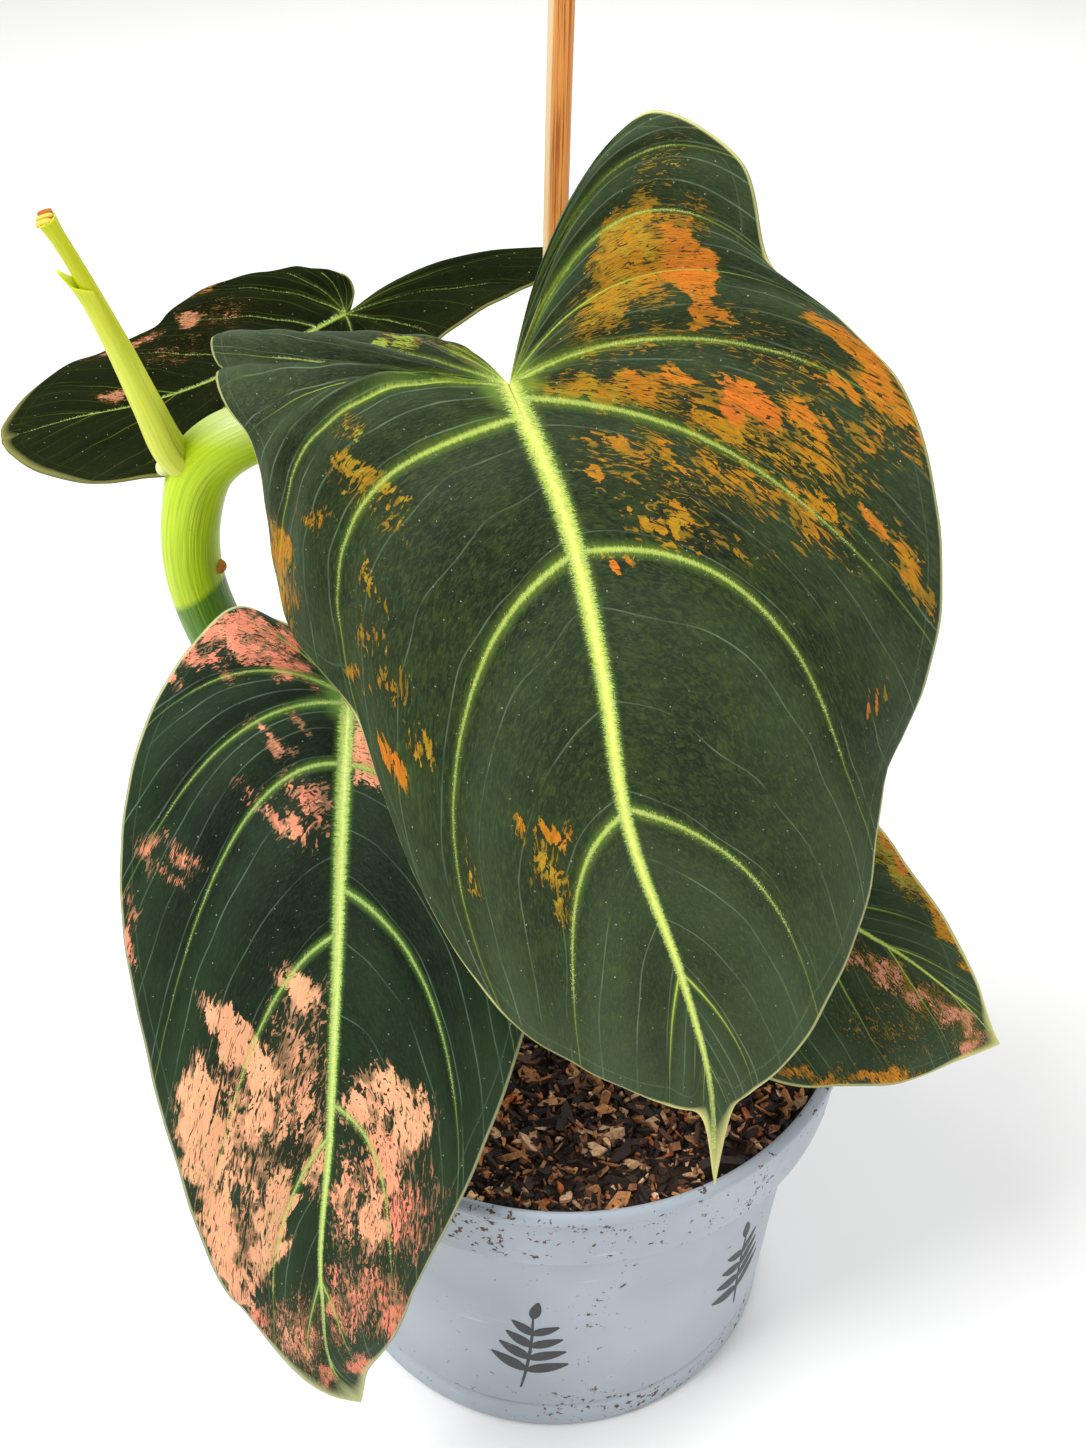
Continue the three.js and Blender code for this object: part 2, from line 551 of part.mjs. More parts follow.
// Soil: it fills the pot up to a rough top, with chips of bark standing out, and has plain holes
// for the stem and the stake
function soilGeometry() {
  const collar = POT_HEIGHT - COLLAR_DEPTH;
  const edge = COLLAR_INSIDE - GAP - 0.1;
  const rings = [...SOIL_RINGS, edge].map((radius) => ({ radius }));
  rings.push(
    { radius: edge, height: collar + 1.6 + GAP },
    { radius: BODY_TOP_RADIUS - WALL - GAP - 0.3, height: collar + 0.8 + GAP },
    { radius: HEEL_RADIUS - WALL - 1 - GAP, height: FLOOR + GAP },
  );
  const points = [new THREE.Vector3(0, 0, soilHeight(0, 0))];
  const triangles = [];
  for (const { radius, height } of rings) {
    for (let k = 0; k < SECTORS; k += 1) {
      const angle = (2 * Math.PI * k) / SECTORS + Math.PI / 2;
      const [x, y] = [radius * Math.cos(angle), radius * Math.sin(angle)];
      points.push(new THREE.Vector3(x, y, height ?? soilHeight(x, y)));
    }
  }
  const at = (ring, k) => 1 + ring * SECTORS + (k % SECTORS);
  const bottom = points.length;
  points.push(new THREE.Vector3(0, 0, FLOOR + GAP));
  for (let k = 0; k < SECTORS; k += 1) {
    triangles.push([0, at(0, k), at(0, k + 1)]);
    triangles.push([bottom, at(rings.length - 1, k + 1), at(rings.length - 1, k)]);
    for (let ring = 0; ring < rings.length - 1; ring += 1) {
      triangles.push([at(ring, k), at(ring + 1, k), at(ring, k + 1)],
        [at(ring, k + 1), at(ring + 1, k), at(ring + 1, k + 1)]);
    }
  }
  let soil = toSolid(indexed(points, triangles));
  const random = randomFrom(CHIPS.seed);
  const between = ([low, high]) => low + (high - low) * random();
  for (let k = 0; k < CHIPS.count; k += 1) {
    const [length, width, thickness] = [CHIPS.length, CHIPS.width, CHIPS.thickness].map(between);
    const chip = new THREE.BoxGeometry(length, width, thickness);
    const reach = (edge - CHIPS.rimGap) * Math.sqrt(random());
    const bearing = 2 * Math.PI * random();
    const [x, y] = [reach * Math.cos(bearing), reach * Math.sin(bearing)];
    chip.rotateX(random() - 0.5);
    chip.rotateY(0.9 * (random() - 0.5));
    chip.rotateZ(2 * Math.PI * random());
    chip.translate(x, y, soilHeight(x, y) + CHIPS.lift);
    soil = soil.add(toSolid(chip));
  }
  const sunkStem = STEM.map(([x, y, z, r]) => [x, y, z - GAP, r]);
  const stemHole = tube(sunkStem, { ...STEM_TUBE, grow: STEM_HOLE_GAP });
  const stakeHole = stakeBody(STAKE_HOLE_GAP);
  return fromSolid(largestPiece(soil.subtract(toSolid(stemHole)).subtract(toSolid(stakeHole))));
}

// Stake: a split cane, flat on its cut faces and rounded on its outer face
function stakeBody(grow = 0) {
  const [w, d] = [STAKE.width / 2 + grow, STAKE.depth / 2 + grow];
  const outline = new THREE.Shape();
  outline.moveTo(-w, -0.5 * d);
  outline.lineTo(-0.6 * w, -d);
  outline.lineTo(0.8 * w, -0.9 * d);
  outline.lineTo(w, 0.1 * d);
  outline.lineTo(0.5 * w, 0.85 * d);
  outline.lineTo(-0.3 * w, d);
  outline.lineTo(-w, 0.6 * d);
  const cane = new THREE.ExtrudeGeometry(outline, {
    depth: STAKE.top - STAKE.foot + grow, bevelEnabled: false,
  });
  cane.translate(STAKE.x, STAKE.y, STAKE.foot - grow);
  return cane;
}

const plant = new THREE.Group();

function addPiece(name, geometry, finish) {
  const mesh = new THREE.Mesh(geometry, new THREE.MeshStandardMaterial({ metalness: 0, ...finish }));
  mesh.name = name;
  plant.add(mesh);
}

addPiece('pot', potGeometry(), MATERIALS.pot);
addPiece('soil', soilGeometry(), MATERIALS.soil);
addPiece('stake', stakeBody(), MATERIALS.bamboo);
addPiece('stem', stemGeometry(), MATERIALS.stem);
addPiece('cut_petiole', cutPetioleGeometry(), MATERIALS.stub);
addPiece('petiole_sheath', sheathGeometry(), MATERIALS.stub);
addPiece('stem_bud', budGeometry(), MATERIALS.petiole);
const leaves = {
  front: [FRONT_BLADE, FRONT_PETIOLE],
  left: [LEFT_BLADE, LEFT_PETIOLE],
  back: [BACK_BLADE, BACK_PETIOLE],
  right: [RIGHT_BLADE, RIGHT_PETIOLE],
};
for (const [place, [blade, petiole]] of Object.entries(leaves)) {
  addPiece(`${place}_blade`, bladeGeometry(blade), MATERIALS.leaf);
  addPiece(`${place}_petiole`, petioleGeometry(petiole, blade), MATERIALS.petiole);
}

export default plant;
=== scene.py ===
import bpy
import numpy as np
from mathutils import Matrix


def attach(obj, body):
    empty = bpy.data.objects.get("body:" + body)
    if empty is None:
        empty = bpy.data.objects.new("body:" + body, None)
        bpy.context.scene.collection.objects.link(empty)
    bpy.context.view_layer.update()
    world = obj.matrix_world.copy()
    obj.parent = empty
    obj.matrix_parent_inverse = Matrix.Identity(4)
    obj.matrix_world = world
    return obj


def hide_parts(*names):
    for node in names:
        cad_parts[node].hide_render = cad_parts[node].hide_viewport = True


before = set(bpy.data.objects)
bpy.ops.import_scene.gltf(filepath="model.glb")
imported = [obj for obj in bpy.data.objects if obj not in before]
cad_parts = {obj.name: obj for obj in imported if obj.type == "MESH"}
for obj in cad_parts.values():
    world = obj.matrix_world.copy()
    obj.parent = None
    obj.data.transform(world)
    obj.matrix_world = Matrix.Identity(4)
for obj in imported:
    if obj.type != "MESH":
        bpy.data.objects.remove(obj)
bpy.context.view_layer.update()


# Backdrop and light. A seamless pale table top, lit by a wide soft window from the upper left,
# a second one from the right and a bright even room.
def linear(code):
    """Linear RGBA of an sRGB hex code."""
    value = np.array([int(code[k:k + 2], 16) for k in (1, 3, 5)]) / 255
    value = np.where(value <= 0.04045, value / 12.92, ((value + 0.055) / 1.055) ** 2.4)
    return (*value, 1.0)


def add_node(tree, kind, inputs=None, **settings):
    """A shader node with its settings and links. An input is a plain value, a colour's hex code, a
    socket, or a node, which stands for its first output in use."""
    made = tree.nodes.new("ShaderNode" + kind)
    for name, value in settings.items():
        setattr(made, name, value)
    for key, value in (inputs or {}).items():
        if isinstance(value, bpy.types.Node):
            value = next(socket for socket in value.outputs if socket.enabled)
        if isinstance(value, bpy.types.NodeSocket):
            tree.links.new(value, made.inputs[key])
        else:
            made.inputs[key].default_value = linear(value) if isinstance(value, str) else value
    return made


def new_material(name):
    """An empty material and its node tree."""
    material = bpy.data.materials.new(name)
    material.use_nodes = True
    material.node_tree.nodes.clear()
    return material, material.node_tree


def grid_faces(rows, columns, closed=False):
    """Quads between the neighbouring points of a grid that is counted row by row."""
    across = columns if closed else columns - 1
    i, j = np.meshgrid(np.arange(rows - 1), np.arange(across), indexing="ij")
    k = (j + 1) % columns
    corners = [i * columns + j, i * columns + k, (i + 1) * columns + k, (i + 1) * columns + j]
    return np.stack(corners, axis=-1).reshape(-1, 4)


def add_piece(name, points, faces, material, maps=None, values=None, weld=False, smooth=True):
    """A mesh object from points in millimetres and arrays of faces, with UV maps and values a point."""
    mesh = bpy.data.meshes.new(name)
    faces = [part for part in faces if len(part)]
    corners = np.concatenate([part.ravel() for part in faces])
    counts = np.concatenate([np.full(len(part), part.shape[1]) for part in faces])
    mesh.vertices.add(len(points))
    mesh.vertices.foreach_set("co", (np.asarray(points) / 1000).ravel())
    mesh.loops.add(len(corners))
    mesh.loops.foreach_set("vertex_index", corners)
    mesh.polygons.add(len(counts))
    mesh.polygons.foreach_set("loop_start", np.cumsum(counts) - counts)
    for key, uv in (maps or {}).items():
        mesh.uv_layers.new(name=key).data.foreach_set("uv", uv[corners].ravel())
    for key, value in (values or {}).items():
        form = "FLOAT" if value.ndim == 1 else "FLOAT_COLOR"
        slot = "value" if value.ndim == 1 else "color"
        mesh.attributes.new(key, form, "POINT").data.foreach_set(slot, value.ravel())
    mesh.polygons.foreach_set("use_smooth", np.full(len(counts), smooth))
    mesh.update()
    mesh.validate()
    mesh.materials.append(material)
    piece = bpy.data.objects.new(name, mesh)
    bpy.context.collection.objects.link(piece)
    if weld:
        merge = piece.modifiers.new("weld", "WELD")
        merge.merge_threshold = 1e-6
    return piece


def stands_for(piece, slot, *nodes):
    """The piece rides on the plant and replaces the CAD nodes; the slot is not used."""
    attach(piece, "root")
    if nodes:
        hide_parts(*nodes)


table_matt, table_tree = new_material("matt white laminate table top")
surface = add_node(table_tree, "BsdfPrincipled",
                   {"Base Color": "#F4F4F3", "Roughness": 0.9, "Specular IOR Level": 0.1})
add_node(table_tree, "OutputMaterial", {"Surface": surface})
table_points = 3000 * np.array([[-1, -1, 0], [1, -1, 0], [1, 1, 0], [-1, 1, 0]]) - [0, 0, 0.05]
table = add_piece("table", table_points, [np.array([[0, 1, 2, 3]])], table_matt)

room = bpy.data.worlds.new("room")
room.use_nodes = True
room_light = room.node_tree.nodes["Background"]
room_light.inputs["Color"].default_value = linear("#FFFFFF")
room_light.inputs["Strength"].default_value = 0.5
bpy.context.scene.world = room
bpy.context.scene.view_settings.view_transform = "Standard"  # keeps the leaf's full colours

WINDOWS = [  # where each stands and looks, its side in metres and its power in watts
    ("left_window", (-0.6, -0.35, 1.2), (0, 0, 0.15), 0.5, 15),
    ("right_window", (0.9, -0.5, 0.8), (0, 0, 0.15), 0.7, 3),
    ("back_window", (0.2, 0.9, 1.0), (0, 0, 0.2), 0.8, 7),
]
for name, place, target, side, power in WINDOWS:
    lamp = bpy.data.lights.new(name, "AREA")
    lamp.size = side
    lamp.energy = power
    window = bpy.data.objects.new(name, lamp)
    window.location = place
    toward = np.array(target) - place
    window.rotation_euler = (np.arctan2(np.hypot(*toward[:2]), -toward[2]), 0,
                             np.arctan2(-toward[0], toward[1]))
    bpy.context.collection.objects.link(window)


# Camera. It stands in front of the pot and above it, and looks down at the leaves: millimetres,
# degrees, and a focal length in pixels of a picture 1448 pixels high.
CAMERA_PLACE = np.array([-5.05, -228.5, 341.3])
CAMERA_DOWN = np.radians(38.76)
CAMERA_ROLL = np.radians(-1.51)
FOCAL_LENGTH = 1605
PICTURE_HEIGHT = 1448

forward = np.array([0, np.cos(CAMERA_DOWN), -np.sin(CAMERA_DOWN)])
level_right = np.array([1.0, 0, 0])
level_up = np.cross(level_right, forward)
camera_right = level_right * np.cos(CAMERA_ROLL) - level_up * np.sin(CAMERA_ROLL)
camera_up = level_right * np.sin(CAMERA_ROLL) + level_up * np.cos(CAMERA_ROLL)
lens = bpy.data.cameras.new("camera")
lens.sensor_fit = "VERTICAL"
lens.sensor_height = 36
lens.lens = 36 * FOCAL_LENGTH / PICTURE_HEIGHT
lens.clip_start = 0.01
camera = bpy.data.objects.new("camera", lens)
camera_axes = np.eye(4)
camera_axes[:3, :3] = np.stack([camera_right, camera_up, -forward], axis=1)
camera_axes[:3, 3] = CAMERA_PLACE / 1000
camera.matrix_world = camera_axes.T.tolist()
bpy.context.collection.objects.link(camera)
bpy.context.scene.camera = camera


# Pot. A thin nursery pot of blow-moulded polypropylene, pale blue-grey, with a deep collar under
# a rolled rim, a heel ring and eight drainage holes; it is scratched and has soil stuck to it.
RIM_RADIUS = 60
POT_HEIGHT = 92
COLLAR = POT_HEIGHT - 17
COLLAR_INSIDE = RIM_RADIUS - 2.9
BODY_TOP_RADIUS = 53.4
HEEL_RADIUS = 50.2
WALL = 1.5
FLOOR = 2
POT_PROFILE = [
    (0, 0), (46, 0), (48.6, 0.1), (49.7, 0.6), (HEEL_RADIUS, 1.8), (HEEL_RADIUS, 7.7),
    (HEEL_RADIUS - 0.1, 8.3), (HEEL_RADIUS - 0.5, 8.8), (HEEL_RADIUS - 0.3, 9.3),
    (HEEL_RADIUS + 0.1, 10), (52.2, 52), (BODY_TOP_RADIUS, COLLAR - 1.4),
    (BODY_TOP_RADIUS + 0.5, COLLAR - 0.8),
    (RIM_RADIUS - 2.2, COLLAR - 0.4), (RIM_RADIUS - 1.5, COLLAR + 0.2), (RIM_RADIUS - 1.3, COLLAR + 1.2),
    (RIM_RADIUS - 0.9, POT_HEIGHT - 3.6), (RIM_RADIUS - 0.7, POT_HEIGHT - 3.1),
    (RIM_RADIUS - 0.2, POT_HEIGHT - 2.7), (RIM_RADIUS, POT_HEIGHT - 1.9),
    (RIM_RADIUS - 0.1, POT_HEIGHT - 1), (RIM_RADIUS - 0.6, POT_HEIGHT - 0.3),
    (RIM_RADIUS - 1.4, POT_HEIGHT), (RIM_RADIUS - 2.1, POT_HEIGHT - 0.3),
    (RIM_RADIUS - 2.6, POT_HEIGHT - 1.1), (RIM_RADIUS - 2.8, POT_HEIGHT - 2.4),
    (COLLAR_INSIDE, COLLAR + 1.6), (BODY_TOP_RADIUS - WALL, COLLAR + 0.8),
    (HEEL_RADIUS - WALL, FLOOR + 1), (HEEL_RADIUS - WALL - 1, FLOOR), (0, FLOOR),
]
POT_SECTORS = 160
DRAIN_COUNT = 8
DRAIN_CIRCLE = 38
DRAIN_RADIUS = 3.5
DRILL_SECTORS = 20


def turned(profile, sectors):
    """Points of a profile of (radius, height) turned round +Z, one row of sectors a profile point."""
    radius, height = np.array(profile, float).T
    angle = 2 * np.pi * np.arange(sectors) / sectors
    ring = [np.outer(radius, np.cos(angle)), np.outer(radius, np.sin(angle)),
            np.outer(height, np.ones(sectors))]
    return np.stack(ring, axis=-1)


def closed_sheet(front, back, rows, columns):
    """Points and faces of two grids of one size, joined round their common edge."""
    points = np.concatenate([front.reshape(-1, 3), back.reshape(-1, 3)])
    faces = grid_faces(rows, columns)
    count = rows * columns
    grid = np.arange(count).reshape(rows, columns)
    edge = np.concatenate([grid[0, :-1], grid[:-1, -1], grid[-1, :0:-1], grid[:0:-1, 0]])
    after = np.roll(edge, -1)
    rim = np.stack([after, edge, edge + count, after + count], axis=-1)
    return points, [faces, faces[:, ::-1] + count, rim]


def keep_shape(piece):
    """Makes the piece's modifiers part of its mesh."""
    shape = piece.evaluated_get(bpy.context.evaluated_depsgraph_get())
    mesh = bpy.data.meshes.new_from_object(shape)
    piece.modifiers.clear()
    piece.data = mesh


pot_plastic, pot_tree = new_material("blow-moulded polypropylene, blue-grey")
# A satin skin that goes from bare grey-blue to paler, chalky scuffs, with brown soil specks.
place = add_node(pot_tree, "TexCoord").outputs["Object"]
cloud = add_node(pot_tree, "TexNoise", {"Vector": place, "Scale": 28, "Detail": 4})
scuffs = add_node(pot_tree, "MapRange", {"Value": cloud, "From Min": 0.4, "From Max": 0.75})
heights = add_node(pot_tree, "SeparateXYZ", {"Vector": place}).outputs["Z"]
under_rim = add_node(pot_tree, "MapRange",
                     {"Value": heights, "From Min": 0.058, "From Max": 0.09, "To Max": 0.09})
near_foot = add_node(pot_tree, "MapRange",
                     {"Value": heights, "From Min": 0.025, "From Max": 0.0, "To Max": 0.07})
dirtiness = add_node(pot_tree, "Math", {0: under_rim, 1: near_foot}, operation="ADD")
crumbs = add_node(pot_tree, "TexNoise", {"Vector": place, "Scale": 620, "Detail": 3, "Roughness": 0.7})
gather = add_node(pot_tree, "TexNoise", {"Vector": place, "Scale": 60, "Detail": 2})
crumb_sum = add_node(pot_tree, "Math", {0: gather, 1: 0.45, 2: crumbs}, operation="MULTIPLY_ADD")
crumb_limit = add_node(pot_tree, "Math", {0: crumb_sum, 1: dirtiness}, operation="ADD")
crumb_mask = add_node(pot_tree, "MapRange", {"Value": crumb_limit, "From Min": 0.93, "From Max": 0.955})
stretch = add_node(pot_tree, "Mapping",
                   {"Vector": place, "Scale": (90, 90, 900), "Rotation": (0.5, 0.3, 0)})
scratch = add_node(pot_tree, "TexNoise", {"Vector": stretch, "Scale": 1, "Detail": 2})
scratch_lines = add_node(pot_tree, "MapRange",
                         {"Value": scratch, "From Min": 0.7, "From Max": 0.78, "To Max": 0.5})
skin = "#A0A9B3"
for share, colour in ((scuffs, "#AFB7BF"), (crumb_mask, "#5E4636"), (scratch_lines, "#C9D1D9")):
    skin = add_node(pot_tree, "Mix", {"Factor": share, "A": skin, "B": colour}, data_type="RGBA")
pot_roughness = add_node(pot_tree, "MapRange", {"Value": crumb_mask, "To Min": 0.38, "To Max": 0.9})
pot_bump = add_node(pot_tree, "Bump", {"Height": crumb_mask, "Strength": 0.6, "Distance": 0.0004})
surface = add_node(pot_tree, "BsdfPrincipled",
                   {"Base Color": skin, "Roughness": pot_roughness, "IOR": 1.49, "Subsurface Weight": 0.08,
                    "Subsurface Radius": (0.002, 0.002, 0.002), "Normal": pot_bump})
add_node(pot_tree, "OutputMaterial", {"Surface": surface})

pot_rings = turned(POT_PROFILE, POT_SECTORS)
pot_faces = grid_faces(len(POT_PROFILE), POT_SECTORS, closed=True)
pot = add_piece("pot_shell", pot_rings.reshape(-1, 3), [pot_faces], pot_plastic, weld=True)
drain_profile = [(0, -3), (DRAIN_RADIUS, -3), (DRAIN_RADIUS, 6), (0, 6)]
drain_rings = turned(drain_profile, DRILL_SECTORS)
drain_faces = grid_faces(len(drain_profile), DRILL_SECTORS, closed=True)
drill_points = []
drill_faces = []
for k in range(DRAIN_COUNT):
    bearing = 2 * np.pi * (k + 0.5) / DRAIN_COUNT
    offset = DRAIN_CIRCLE * np.array([np.cos(bearing), np.sin(bearing), 0])
    drill_faces.append(drain_faces + k * drain_rings[..., 0].size)
    drill_points.append(drain_rings.reshape(-1, 3) + offset)
drills = add_piece("drills", np.concatenate(drill_points), drill_faces, pot_plastic, weld=True)
keep_shape(drills)
keep_shape(pot)
cut = pot.modifiers.new("drain holes", "BOOLEAN")
cut.object = drills
cut.operation = "DIFFERENCE"
keep_shape(pot)
bpy.data.objects.remove(drills)
pot.data.set_sharp_from_angle(angle=np.radians(40))
stands_for(pot, "pot_plastic", "pot")


# Print. A plain leafy sprig in charcoal ink, screen-printed six times round the pot's body, a little
# worn. Each stalk and leaf is a patch of ink under a tenth of a millimetre thick.
SPRIG_COUNT = 6
SPRIG_FOOT = 17
SPRIG_HEIGHT = 30
LEAF_PAIRS = 4
STROKE_ROWS = 13
STROKE_COLUMNS = 5
INK_DEPTH = 0.07
INK_ROOT = 0.1

ink, ink_tree = new_material("screen-printed charcoal ink")
# Flat satin ink, with pinholes and rubbed spots that show the grey plastic.
place = add_node(ink_tree, "TexCoord").outputs["Object"]
rubbed = add_node(ink_tree, "TexNoise", {"Vector": place, "Scale": 700, "Detail": 4, "Roughness": 0.7})
rubbed_share = add_node(ink_tree, "MapRange",
                        {"Value": rubbed, "From Min": 0.62, "From Max": 0.7, "To Max": 0.7})
ink_colour = add_node(ink_tree, "Mix", {"Factor": rubbed_share, "A": "#222227", "B": "#7E8894"},
                      data_type="RGBA")
surface = add_node(ink_tree, "BsdfPrincipled", {"Base Color": ink_colour, "Roughness": 0.5})
add_node(ink_tree, "OutputMaterial", {"Surface": surface})


def ink_patch(start, heading, length, half_width, bow):
    """Grid of one inked stroke on the unrolled pot, (round, up) in millimetres: a line that leaves
    start at a heading in radians from straight up and bows sideways, with an almond's width."""
    t, w = np.meshgrid(np.linspace(0, 1, STROKE_ROWS), np.linspace(-1, 1, STROKE_COLUMNS), indexing="ij")
    forward = np.array([np.sin(heading), np.cos(heading)])
    sideways = np.array([forward[1], -forward[0]])
    width = 0.2 + half_width * np.sin(np.pi * t ** 0.8) ** 0.9
    offset = bow * t**2 + w * width
    return start + (length * t)[..., None] * forward + offset[..., None] * sideways


def on_pot(flat, bearing, lift):
    """Flat points wrapped on the pot's body round a bearing, at a lift off its surface."""
    up = flat[..., 1]
    body_radius = np.interp(up, [10, 52, COLLAR - 1.4], [HEEL_RADIUS + 0.1, 52.2, BODY_TOP_RADIUS])
    angle = bearing + flat[..., 0] / body_radius
    reach = body_radius + lift
    return np.stack([reach * np.cos(angle), reach * np.sin(angle), up], axis=-1)


ink_points, ink_faces = [], []
for k in range(SPRIG_COUNT):
    bearing = 2 * np.pi * k / SPRIG_COUNT - np.pi / 2 - 0.12
    tilt = 0.16 * (-1) ** k
    foot = np.array([0, SPRIG_FOOT + 2.5 * (k % 2)])
    strokes = [ink_patch(foot, tilt, SPRIG_HEIGHT, 0.15, -2.5 * (-1) ** k)]
    for pair in range(LEAF_PAIRS):
        share = 0.25 + 0.18 * pair
        joint = strokes[0][round((STROKE_ROWS - 1) * share), 2]
        for hand in (-1, 1):
            strokes.append(ink_patch(joint, tilt + hand * (0.95 - 0.08 * pair), 9.5 - pair,
                                     1.6 - 0.15 * pair, hand * 0.8))
    strokes.append(ink_patch(strokes[0][-1, 2] - [0, 1], tilt, 6.5, 1.0, 0))
    for stroke in strokes:
        outside = on_pot(stroke, bearing, INK_DEPTH)
        inside = on_pot(stroke, bearing, -INK_ROOT)
        points, faces = closed_sheet(outside, inside, STROKE_ROWS, STROKE_COLUMNS)
        start = sum(len(block) for block in ink_points)
        ink_points.append(points)
        ink_faces.extend(part[:, ::-1] + start for part in faces)
sprigs = add_piece("printed_sprigs", np.concatenate(ink_points), ink_faces, ink)
sprigs.data.set_sharp_from_angle(angle=np.radians(40))
stands_for(sprigs, "pot_plastic")


# Potting mix. Dark damp compost with a top layer of shredded bark: thousands of near-black,
# brown, tan and orange chips one to a few millimetres long, lying every way.
SOIL_LEVEL = 85
SOIL_EDGE = COLLAR_INSIDE - 0.4
SOIL_RINGS = 90
SOIL_SECTORS = 180
CHIP_COUNT = 7500


def soil_height(x, y):
    """Height of the soil's top: two crossed waves of low mounds over a level that sinks to the rim."""
    mounds = 1.6 * np.sin(x / 9 + 1.3) * np.cos(y / 11 - 0.4) + 0.9 * np.sin(x / 4.1 - y / 5.3)
    return SOIL_LEVEL + mounds - 1.5 * np.hypot(x, y) / RIM_RADIUS


compost, compost_tree = new_material("damp compost")
# Crumbs of near-black and brown humus about a millimetre across, matt, with a few pale grains.
place = add_node(compost_tree, "TexCoord").outputs["Object"]
humus = add_node(compost_tree, "TexNoise", {"Vector": place, "Scale": 900, "Detail": 5, "Roughness": 0.7})
humus_colour = add_node(compost_tree, "Mix", {"Factor": humus, "A": "#120B07", "B": "#4A3020"},
                        data_type="RGBA")
compost_bump = add_node(compost_tree, "Bump", {"Height": humus, "Strength": 0.9, "Distance": 0.0015})
surface = add_node(compost_tree, "BsdfPrincipled",
                   {"Base Color": humus_colour, "Roughness": 0.95, "Normal": compost_bump})
add_node(compost_tree, "OutputMaterial", {"Surface": surface})

random = np.random.default_rng(7)
reach = np.linspace(0, SOIL_EDGE, SOIL_RINGS)[:, None]
bearing = 2 * np.pi * np.arange(SOIL_SECTORS)[None, :] / SOIL_SECTORS
soil_x, soil_y = reach * np.cos(bearing), reach * np.sin(bearing)
crumble = 0.9 * random.random(soil_x.shape)
crumble[[0, -1]] = 0.4
soil_z = soil_height(soil_x, soil_y) + crumble
soil_top = np.stack([soil_x, soil_y, soil_z], axis=-1)
soil_wall = turned([(SOIL_EDGE, COLLAR + 1.9), (BODY_TOP_RADIUS - WALL - 0.6, COLLAR + 1.1),
                    (HEEL_RADIUS - WALL - 1.3, FLOOR + 0.3), (0, FLOOR + 0.3)], SOIL_SECTORS)
soil_points = np.concatenate([soil_top, soil_wall])
soil_faces = grid_faces(len(soil_points), SOIL_SECTORS, closed=True)[:, ::-1]
compost_body = add_piece("compost", soil_points.reshape(-1, 3), [soil_faces], compost, weld=True)
keep_shape(compost_body)
stands_for(compost_body, "potting_mix", "soil")

bark, bark_tree = new_material("shredded pine bark")
# Splintery, fibrous flakes: each chip has its own brown, drawn out along the grain.
chip_colour = add_node(bark_tree, "Attribute", attribute_name="chip colour").outputs["Color"]
place = add_node(bark_tree, "TexCoord").outputs["Object"]
fibres = add_node(bark_tree, "TexNoise", {"Vector": place, "Scale": 1500, "Detail": 3})
fibre_shade = add_node(bark_tree, "MapRange",
                       {"Value": fibres, "From Min": 0.3, "From Max": 0.7, "To Min": 0.55, "To Max": 1.15})
bark_colour = add_node(bark_tree, "VectorMath", {0: chip_colour, 1: fibre_shade}, operation="MULTIPLY")
bark_bump = add_node(bark_tree, "Bump", {"Height": fibres, "Strength": 0.6, "Distance": 0.0005})
surface = add_node(bark_tree, "BsdfPrincipled",
                   {"Base Color": bark_colour, "Roughness": 0.75, "Normal": bark_bump})
add_node(bark_tree, "OutputMaterial", {"Surface": surface})

CHIP_BROWNS = ["#1E120C", "#2A1A11", "#3A2417", "#553420", "#7A4C2E", "#A26A41", "#C98A55", "#E3B487",
               "#B9622E"]
CHIP_SHARES = [0.3, 0.19, 0.09, 0.06, 0.06, 0.08, 0.1, 0.08, 0.04]


def shards(count, source):
    """Flat splinters: a six-sided prism each, long along x and pinched at both ends, turned at random
    and dropped on the soil. Returns the points, one block of 12 a shard."""
    angle = 2 * np.pi * np.arange(6) / 6 + source.uniform(-0.35, 0.35, (count, 6))
    size = source.lognormal(0, 0.42, (count, 1))
    length = 1.2 * size * source.uniform(0.6, 1.7, (count, 1))
    width = 0.42 * size * source.uniform(0.6, 1.7, (count, 1))
    thick = 0.2 * size[:, :, None] * source.uniform(0.6, 1.8, (count, 1, 1))
    flat = np.stack([length * np.cos(angle), width * np.sin(angle)], axis=-1)
    flat += 0.1 * size[:, :, None] * source.normal(0, 1, flat.shape)
    layers = [np.concatenate([flat * grow, thick * lift * np.ones((count, 6, 1))], axis=-1)
              for grow, lift in ((0.85, -1), (0.9, 1))]
    block = np.concatenate(layers, axis=1)
    heading = source.uniform(0, 2 * np.pi, count)
    pitch, twist = source.normal(0, 0.45, count), source.normal(0, 0.6, count)
    for first, second, turn in ((1, 2, twist), (0, 2, pitch), (0, 1, heading)):
        a, b = block[..., first].copy(), block[..., second].copy()
        c, s = np.cos(turn)[:, None], np.sin(turn)[:, None]
        block[..., first], block[..., second] = c * a - s * b, s * a + c * b
    reach = (SOIL_EDGE - 2.2) * np.sqrt(source.random(count))
    bearing = source.uniform(0, 2 * np.pi, count)
    x, y = reach * np.cos(bearing), reach * np.sin(bearing)
    centre = np.stack([x, y, soil_height(x, y) + 0.5 + 0.8 * source.random(count)], axis=-1)
    return block + centre[:, None, :]


